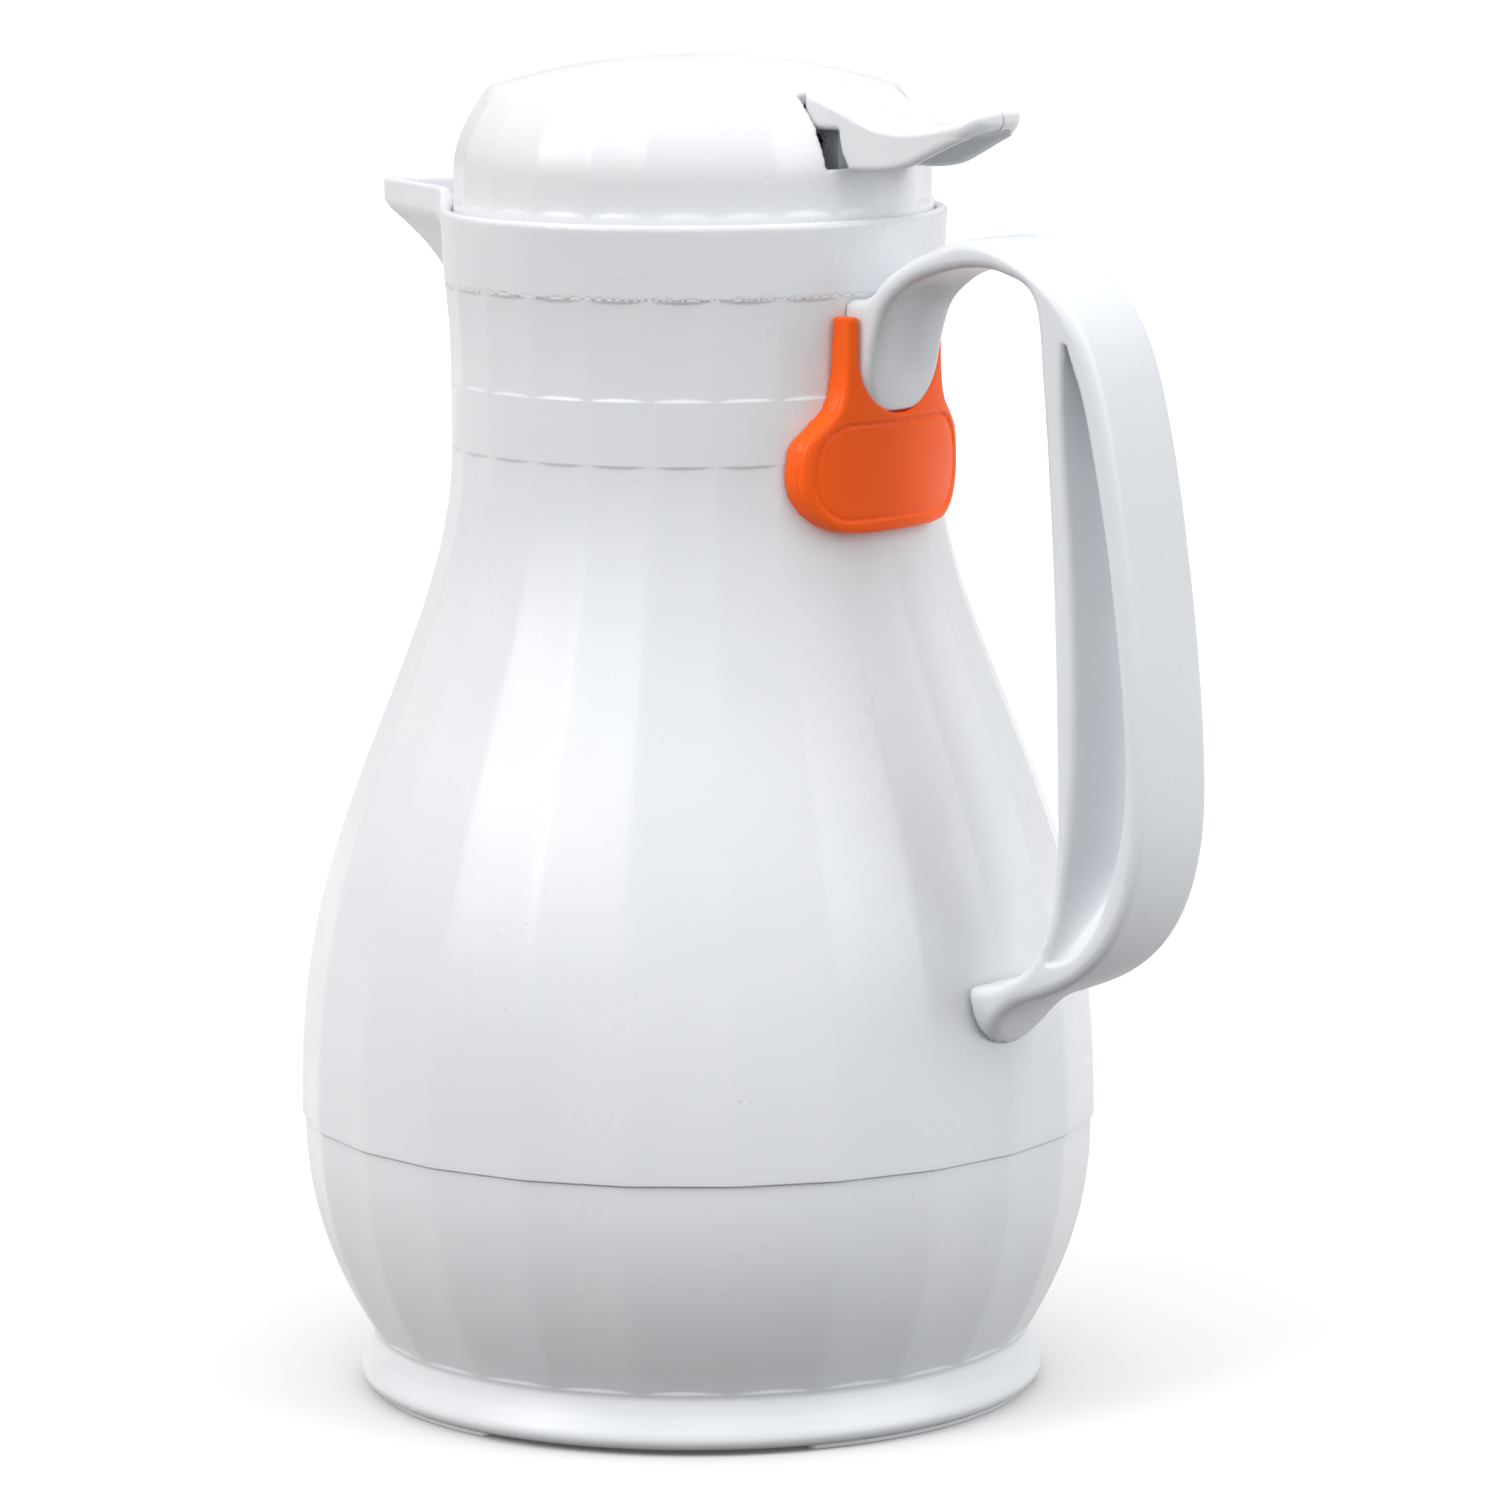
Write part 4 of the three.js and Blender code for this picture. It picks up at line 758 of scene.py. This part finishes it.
# Pairs are distances from the axis and half widths.
LEVER_HALF_PLAN = [(42.6, 14.6), (47.5, 14.2), (52.0, 13.4), (58.0, 12.2), (66.0, 11.5), (74.0, 10.8),
                   (80.0, 9.9), (84.6, 8.6), (87.4, 5.4), (88.0, 0.0)]
LEVER_WALL = 2.4
PIVOT_X = (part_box("lever_pin")[0].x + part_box("lever_pin")[1].x) / 2 / MM
PIVOT_Z = (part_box("lever_pin")[0].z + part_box("lever_pin")[1].z) / 2 / MM
ARM_Z = level("thumb_lever", False)
ARM_TOP = ARM_Z + 3.2
ARM_HALF_W = 6
EAR_Y = 7.8              # middle of each of the stopper's ears, which the lever clears
PIN_BORE_R = 1.75


def lever_outlines():
    upper = spline(LEVER_UPPER, 50)
    lower = spline(LEVER_LOWER, 30)
    lift = np.array([0, SHOULDER_TOP])
    side = np.concatenate([upper, lower, [(52.6, -11.0), (51.8, -6.3), (43.6, -6.3)]]) + lift
    edge = spline(LEVER_HALF_PLAN, 50)
    plan = np.concatenate([edge, edge[::-1] * np.array([1, -1])])
    return tabulated(side), tabulated(plan)


LEVER_SIDE, LEVER_PLAN = lever_outlines()


def lever_field(x, y, z):
    side = LEVER_SIDE(x, z)
    plan = LEVER_PLAN(x, y)
    crown = 0.9 * (y / 12.0) ** 2 * smoothstep(x, 50, 62)
    solid = rounded_and(side + crown * (z > SHOULDER_TOP - 7), plan, 1.6)
    upper = np.interp(x, *np.asarray(spline(LEVER_UPPER, 50)).T)
    roof = z - (SHOULDER_TOP + upper - LEVER_WALL)
    hollow = rounded_and(rounded_and(plan + LEVER_WALL, roof, 1.6), 45.6 - x, 1.0)
    shell = rounded_cut(solid, hollow, 0.6)
    for sign in (-1, 1):
        ear = np.maximum(np.abs(y - sign * EAR_Y) - 2.1, np.abs(x - PIVOT_X) - 5.9)
        shell = np.maximum(shell, -np.maximum(ear, z - PIVOT_Z - 4.4))
    knuckle = np.maximum(np.maximum(np.abs(y) - ARM_HALF_W, np.abs(x - 44.3) - 4.3),
                         np.maximum(ARM_Z - z, z - SHOULDER_TOP + 1.6))
    shell = filleted_or(shell, knuckle, 0.8)
    arm = np.maximum(np.maximum(np.abs(y) - ARM_HALF_W, -1 - x),
                     np.maximum(x - 48.6, np.abs(z - (ARM_Z + ARM_TOP) / 2) - 1.6))
    fork = np.maximum(np.abs(y) - 4.2, x - 4.4)
    shell = np.minimum(shell, np.maximum(arm, -fork))
    bore = np.sqrt((x - PIVOT_X) ** 2 + (z - PIVOT_Z) ** 2) - PIN_BORE_R
    return np.maximum(shell, -bore)


def make_lever(material):
    spans = fan_box((-2.5, LEVER_X + 1.5), (-18.5, 18.5), (ARM_Z - 1.5, LEVER_TOP + 1.5))
    points, faces = net(lever_field, spans, 0.5)
    obj = mesh_object("lever_shell", points, faces)
    return finish_piece(obj, "lever", ["thumb_lever"], material)


# ---------------------------------------------------------------- valve spring
SPRING_TURNS = 5
WIRE_R = 0.7


def make_spring(material):
    """Coil between the valve and the stopper, built at one length; it does not shorten as the valve rises."""
    low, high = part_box("valve_spring")
    coil_r = (high.x - low.x) / 2 / MM - WIRE_R
    z0, z1 = low.z / MM + WIRE_R, high.z / MM - WIRE_R
    rings, sides = SPRING_TURNS * 32 + 1, 12
    turn = np.linspace(0, 2 * math.pi * SPRING_TURNS, rings)[:, None]
    round_wire = np.linspace(0, 2 * math.pi, sides, endpoint=False)[None, :]
    rho = coil_r + WIRE_R * np.cos(round_wire)
    z = z0 + (z1 - z0) * turn / turn[-1] + WIRE_R * np.sin(round_wire)
    points = np.stack([rho * np.cos(turn), rho * np.sin(turn), z], axis=-1).reshape(-1, 3)
    last = (rings - 1) * sides
    ends = [list(range(sides)), list(range(last, last + sides))[::-1]]
    obj = mesh_object("valve_coil", points, grid_faces(rings, sides, False) + ends)
    obj.data.materials.append(material)
    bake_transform(obj)
    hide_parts("valve_spring")
    return obj


# ---------------------------------------------------------------- materials
class Recipe:
    """Node tree of one material, built round a Principled shader."""

    def __init__(self, name):
        self.material = bpy.data.materials.new(name)
        self.material.use_nodes = True
        self.tree = self.material.node_tree
        self.shader = self.tree.nodes["Principled BSDF"]
        self.place = self.node("ShaderNodeTexCoord").outputs["Object"]

    def node(self, kind, **values):
        made = self.tree.nodes.new(kind)
        for key, value in values.items():
            setattr(made, key, value)
        return made

    def link(self, output, target):
        self.tree.links.new(output, target)

    def set(self, **values):
        for key, value in values.items():
            self.shader.inputs[key.replace("_", " ")].default_value = value

    def noise(self, size, detail=3.0, roughness=0.55, stretch=(1, 1, 1)):
        """Noise whose features are about size millimetres across."""
        mapping = self.node("ShaderNodeMapping")
        mapping.inputs["Scale"].default_value = [s / (size * MM) for s in stretch]
        self.link(self.place, mapping.inputs["Vector"])
        noise = self.node("ShaderNodeTexNoise")
        noise.inputs["Scale"].default_value = 1.0
        noise.inputs["Detail"].default_value = detail
        noise.inputs["Roughness"].default_value = roughness
        self.link(mapping.outputs["Vector"], noise.inputs["Vector"])
        return noise.outputs["Fac"]

    def ramp(self, source, low, high, start=0.0, end=1.0):
        """Values from low to high while the source goes from start to end."""
        made = self.node("ShaderNodeMapRange")
        made.interpolation_type = "SMOOTHSTEP"
        for key, value in (("From Min", start), ("From Max", end), ("To Min", low), ("To Max", high)):
            made.inputs[key].default_value = value
        self.link(source, made.inputs["Value"])
        return made.outputs["Result"]

    def mix(self, factor, a, b):
        made = self.node("ShaderNodeMix")
        made.data_type = "RGBA"
        self.link(factor, made.inputs[0])
        for value, socket in ((a, made.inputs[6]), (b, made.inputs[7])):
            if isinstance(value, tuple):
                socket.default_value = (*value, 1.0)
            else:
                self.link(value, socket)
        return made.outputs[2]

    def maths(self, operation, a, b=None):
        made = self.node("ShaderNodeMath", operation=operation)
        for value, socket in ((a, made.inputs[0]), (b, made.inputs[1])):
            if value is None:
                continue
            if isinstance(value, (int, float)):
                socket.default_value = value
            else:
                self.link(value, socket)
        return made.outputs[0]

    def bumps(self, *heights):
        """Bump from (height output, strength, distance in millimetres), stacked."""
        last = None
        for height, strength, distance in heights:
            bump = self.node("ShaderNodeBump")
            bump.inputs["Strength"].default_value = strength
            bump.inputs["Distance"].default_value = distance * MM
            self.link(height, bump.inputs["Height"])
            if last:
                self.link(last, bump.inputs["Normal"])
            last = bump.outputs["Normal"]
        self.link(last, self.shader.inputs["Normal"])


def edge_share(recipe, low=0.52, high=0.62):
    geometry = recipe.node("ShaderNodeNewGeometry")
    return recipe.ramp(geometry.outputs["Pointiness"], 0.0, 1.0, low, high)


def moulded(name, pale, deep, rough=0.3, skin=0.1, gloss=0.5, painted_glow=0.0, seam=False):
    """Injection-moulded plastic: soft colour drift, orange-peel skin, handling scuffs and rubbed edges.

    painted_glow is a painted glow: emitted light that makes the piece look brighter than its lamps light it,
    and seam a parting line down the middle of the piece."""
    recipe = Recipe(name)
    drift = recipe.noise(55.0, 2.0)
    colour = recipe.mix(recipe.ramp(drift, 0.0, 1.0, 0.3, 0.7), pale, deep)
    specks = recipe.noise(1.3, 2.0, 0.4)
    dust = recipe.ramp(specks, 0.0, 0.35, 0.745, 0.79)
    grime = tuple(c * 0.62 for c in deep)
    colour = recipe.mix(dust, colour, grime)
    worn = edge_share(recipe, 0.6, 0.74)
    rubbed = recipe.maths("MULTIPLY", worn, recipe.ramp(recipe.noise(2.2), 0.0, 0.3, 0.4, 0.65))
    lighter = tuple(min(1.0, c * 1.03 + 0.006) for c in pale)
    colour = recipe.mix(rubbed, colour, lighter)
    recipe.link(colour, recipe.shader.inputs["Base Color"])
    scuff = recipe.noise(1.4, 6.0, 0.62, (1.0, 1.0, 0.12))
    scuffs = recipe.ramp(scuff, 0.0, 0.07, 0.58, 0.78)
    patch = recipe.ramp(recipe.noise(28.0, 3.0), rough - 0.035, rough + 0.05, 0.3, 0.7)
    roughness = recipe.maths("ADD", patch, scuffs)
    roughness = recipe.maths("ADD", roughness, recipe.maths("MULTIPLY", rubbed, 0.06))
    recipe.link(roughness, recipe.shader.inputs["Roughness"])
    peel = recipe.noise(1.1, 2.0, 0.5)
    wave = recipe.noise(16.0, 1.0, 0.5)
    heights = [(wave, skin * 0.5, 0.10), (peel, skin * 0.4, 0.012)]
    if seam:
        split = recipe.node("ShaderNodeSeparateXYZ")
        recipe.link(recipe.place, split.inputs[0])
        off = recipe.maths("ABSOLUTE", split.outputs["Y"])
        line = recipe.ramp(off, 1.0, 0.0, 0.0, 0.35 * MM)
        heights.append((line, 0.35, 0.12))
    recipe.bumps(*heights)
    recipe.set(IOR=1.49, Specular_IOR_Level=gloss, Emission_Strength=painted_glow)
    # Emission here is a painted glow: the piece gives off light of its own colour though it is no lamp.
    if painted_glow:
        recipe.link(colour, recipe.shader.inputs["Emission Color"])
    return recipe.material


def rubber(name, pale, deep):
    recipe = Recipe(name)
    colour = recipe.mix(recipe.ramp(recipe.noise(9.0), 0.0, 1.0, 0.35, 0.65), pale, deep)
    bloom = recipe.mix(edge_share(recipe), colour, tuple(min(1, c * 1.3) for c in pale))
    recipe.link(bloom, recipe.shader.inputs["Base Color"])
    recipe.link(recipe.ramp(recipe.noise(3.0, 4.0), 0.58, 0.78), recipe.shader.inputs["Roughness"])
    recipe.bumps((recipe.noise(0.6, 4.0), 0.3, 0.05))
    recipe.set(IOR=1.5)
    return recipe.material


def cut_foam(name, pale, deep):
    """Rigid insulating foam: closed cells with a torn skin."""
    recipe = Recipe(name)
    cells = recipe.node("ShaderNodeTexVoronoi")
    cells.inputs["Scale"].default_value = 1 / (1.6 * MM)
    recipe.link(recipe.place, cells.inputs["Vector"])
    shade = recipe.ramp(cells.outputs["Distance"], 0.0, 1.0, 0.0, 0.8)
    blotch = recipe.ramp(recipe.noise(22.0), 0.0, 0.6, 0.35, 0.7)
    colour = recipe.mix(shade, deep, pale)
    colour = recipe.mix(blotch, colour, tuple(0.9 * c for c in pale))
    recipe.link(colour, recipe.shader.inputs["Base Color"])
    recipe.link(recipe.ramp(recipe.noise(4.0), 0.85, 0.97), recipe.shader.inputs["Roughness"])
    recipe.bumps((cells.outputs["Distance"], 0.6, 0.4), (recipe.noise(0.9, 4.0), 0.4, 0.12))
    return recipe.material


def bright_steel(name):
    recipe = Recipe(name)
    grain = recipe.noise(0.25, 3.0, 0.6, (1, 1, 0.08))
    cloud = recipe.ramp(recipe.noise(3.5), 0.0, 1.0, 0.3, 0.7)
    colour = recipe.mix(cloud, (0.60, 0.60, 0.61), (0.48, 0.48, 0.50))
    dull = recipe.mix(edge_share(recipe), colour, (0.76, 0.76, 0.77))
    recipe.link(dull, recipe.shader.inputs["Base Color"])
    recipe.link(recipe.ramp(grain, 0.2, 0.42, 0.3, 0.7), recipe.shader.inputs["Roughness"])
    recipe.bumps((grain, 0.25, 0.02))
    recipe.set(Metallic=1.0)
    return recipe.material


def make_materials():
    white = (0.830, 0.845, 0.865)
    shade = (0.795, 0.812, 0.836)
    grey = (0.60, 0.62, 0.64)
    return {
        "white_body": moulded("body_plastic", white, shade, 0.30, 0.10),
        "white_handle": moulded("handle_plastic", (0.815, 0.835, 0.862), (0.785, 0.805, 0.838), 0.33, 0.12,
                                seam=True),
        "white_lid": moulded("lid_plastic", (0.850, 0.860, 0.875), (0.822, 0.836, 0.856), 0.26, 0.09),
        # The tag's emission is a painted glow that brightens its orange beyond what the lamps give.
        "orange_tag": moulded("tag_plastic", (1.0, 0.120, 0.002), (0.93, 0.096, 0.002), 0.40, 0.16,
                              gloss=0.28, painted_glow=0.08),
        "base_grey": moulded("base_plastic", grey, tuple(0.92 * c for c in grey), 0.5, 0.2),
        "liner_plastic": moulded("liner_plastic", (0.66, 0.69, 0.71), (0.60, 0.63, 0.66), 0.28, 0.08),
        "stopper_plastic": moulded("stopper_plastic", (0.62, 0.65, 0.67), (0.55, 0.58, 0.61), 0.42, 0.14),
        "foam": cut_foam("insulating_foam", (0.74, 0.62, 0.36), (0.52, 0.42, 0.22)),
        "seal_rubber": rubber("seal_rubber", (0.16, 0.165, 0.17), (0.11, 0.115, 0.12)),
        "steel": bright_steel("bright_steel"),
    }


def dress_cad_nodes(materials):
    """Every CAD node takes the finish of its slot, whether it shows or is replaced."""
    for name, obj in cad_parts.items():
        material = materials[NODE_SLOTS[name]]
        if not obj.material_slots:
            obj.data.materials.append(material)
        for holder in obj.material_slots:
            holder.material = material


NODE_SLOTS = {
    "bottom_plate": "base_grey", "base_disc": "base_grey",
    "base_screw_1": "steel", "base_screw_2": "steel", "base_screw_3": "steel",
    "liner": "liner_plastic", "liner_cushion": "seal_rubber",
    "foam_bowl": "foam", "foam_sleeve": "foam", "collar_seal": "seal_rubber",
    "handle_screw_upper": "steel", "handle_screw_lower": "steel",
    "stopper_body": "stopper_plastic", "stopper_gasket": "seal_rubber",
    "lever_pin": "steel", "valve_spring": "steel",
    "valve_stem": "stopper_plastic", "valve_seal": "seal_rubber",
    "outer_jacket": "white_body", "base_shell": "white_body", "pour_collar": "white_body",
    "strap_handle": "white_handle", "id_tag": "orange_tag",
    "lid_cap": "white_lid", "thumb_lever": "white_lid",
}


# ---------------------------------------------------------------- studio
def soft_sun(name, strength, softness, around, height, tint=(1, 1, 1)):
    """Distant softbox: around is degrees round from -Y towards +X, height degrees above the floor."""
    data = bpy.data.lights.new(name, "SUN")
    data.energy = strength
    data.angle = math.radians(softness)
    data.color = tint
    obj = bpy.data.objects.new(name, data)
    bpy.context.scene.collection.objects.link(obj)
    a, e = math.radians(around), math.radians(height)
    towards = Vector((math.sin(a) * math.cos(e), -math.cos(a) * math.cos(e), math.sin(e)))
    obj.location = towards * 2.0
    obj.rotation_euler = towards.to_track_quat("Z", "Y").to_euler()
    return obj


def make_floor():
    """Pale seamless floor, very slightly uneven."""
    bm = bmesh.new()
    bmesh.ops.create_grid(bm, x_segments=24, y_segments=24, size=9.0)
    mesh = bpy.data.meshes.new("floor")
    bm.to_mesh(mesh)
    bm.free()
    obj = bpy.data.objects.new("floor", mesh)
    bpy.context.scene.collection.objects.link(obj)
    recipe = Recipe("floor_paper")
    cloud = recipe.ramp(recipe.noise(400.0), 0.0, 1.0, 0.3, 0.7)
    colour = recipe.mix(cloud, (0.93, 0.93, 0.935), (0.90, 0.90, 0.905))
    recipe.link(colour, recipe.shader.inputs["Base Color"])
    recipe.link(recipe.ramp(recipe.noise(30.0), 0.55, 0.7), recipe.shader.inputs["Roughness"])
    recipe.bumps((recipe.noise(0.8), 0.1, 0.02))
    recipe.set(IOR=1.4)
    mesh.materials.append(recipe.material)
    obj.visible_diffuse = False


def make_world():
    world = bpy.data.worlds.new("studio")
    world.use_nodes = True
    back = world.node_tree.nodes["Background"]
    back.inputs["Color"].default_value = (1.0, 1.0, 1.0, 1.0)
    coordinate = world.node_tree.nodes.new("ShaderNodeTexCoord")
    split = world.node_tree.nodes.new("ShaderNodeSeparateXYZ")
    world.node_tree.links.new(coordinate.outputs["Generated"], split.inputs[0])
    lift = world.node_tree.nodes.new("ShaderNodeMapRange")
    for key, value in (("From Min", -0.5), ("From Max", 0.25), ("To Min", 0.06), ("To Max", 0.67)):
        lift.inputs[key].default_value = value
    world.node_tree.links.new(split.outputs["Z"], lift.inputs["Value"])
    world.node_tree.links.new(lift.outputs["Result"], back.inputs["Strength"])
    bpy.context.scene.world = world


def make_lights():
    soft_sun("overhead", 1.1, 70, 0, 86)
    soft_sun("left_box", 1.3, 34, -18, 32, (0.99, 0.995, 1.0))
    soft_sun("right_box", 1.2, 44, 108, 26, (0.95, 0.975, 1.0))


CAMERA_FROM = (1557.5, 40.42, 386.0)     # distance along the floor, degrees round from -Y, height
CAMERA_PITCH = 0.154312
CAMERA_YAW = -0.007603
CAMERA_ROLL = -0.005593
CAMERA_LENS = 167.985


def make_camera():
    distance, around, height = CAMERA_FROM
    around = math.radians(around)
    data = bpy.data.cameras.new("camera")
    data.lens = CAMERA_LENS
    data.sensor_width = 36.0
    data.clip_start, data.clip_end = 0.1, 30.0
    data.dof.use_dof = False
    obj = bpy.data.objects.new("camera", data)
    bpy.context.scene.collection.objects.link(obj)
    turn = Matrix.Rotation(around, 3, "Z")
    level_right = turn @ Vector((math.cos(CAMERA_YAW), math.sin(CAMERA_YAW), 0))
    level_ahead = turn @ Vector((-math.sin(CAMERA_YAW), math.cos(CAMERA_YAW), 0))
    up = Vector((0, 0, 1))
    ahead = level_ahead * math.cos(CAMERA_PITCH) - up * math.sin(CAMERA_PITCH)
    above = level_ahead * math.sin(CAMERA_PITCH) + up * math.cos(CAMERA_PITCH)
    right = level_right * math.cos(CAMERA_ROLL) + above * math.sin(CAMERA_ROLL)
    top = above * math.cos(CAMERA_ROLL) - level_right * math.sin(CAMERA_ROLL)
    turned = Matrix((right, top, -ahead)).transposed().to_4x4()
    place = Vector((distance * math.sin(around), -distance * math.cos(around), height)) * MM
    obj.matrix_world = Matrix.Translation(place) @ turned
    bpy.context.scene.camera = obj


def main():
    bpy.context.scene.view_settings.view_transform = "Standard"
    materials = make_materials()
    make_camera()
    make_world()
    make_lights()
    make_floor()
    dress_cad_nodes(materials)
    make_jacket(materials["white_body"])
    make_base(materials["white_body"])
    for index in range(3):
        make_arc_foot(index, materials["white_body"])
    make_collar(materials["white_body"])
    make_handle(materials["white_handle"])
    make_tag(materials["orange_tag"])
    make_lid(materials["white_lid"])
    make_lever(materials["white_lid"])
    make_spring(materials["steel"])


main()
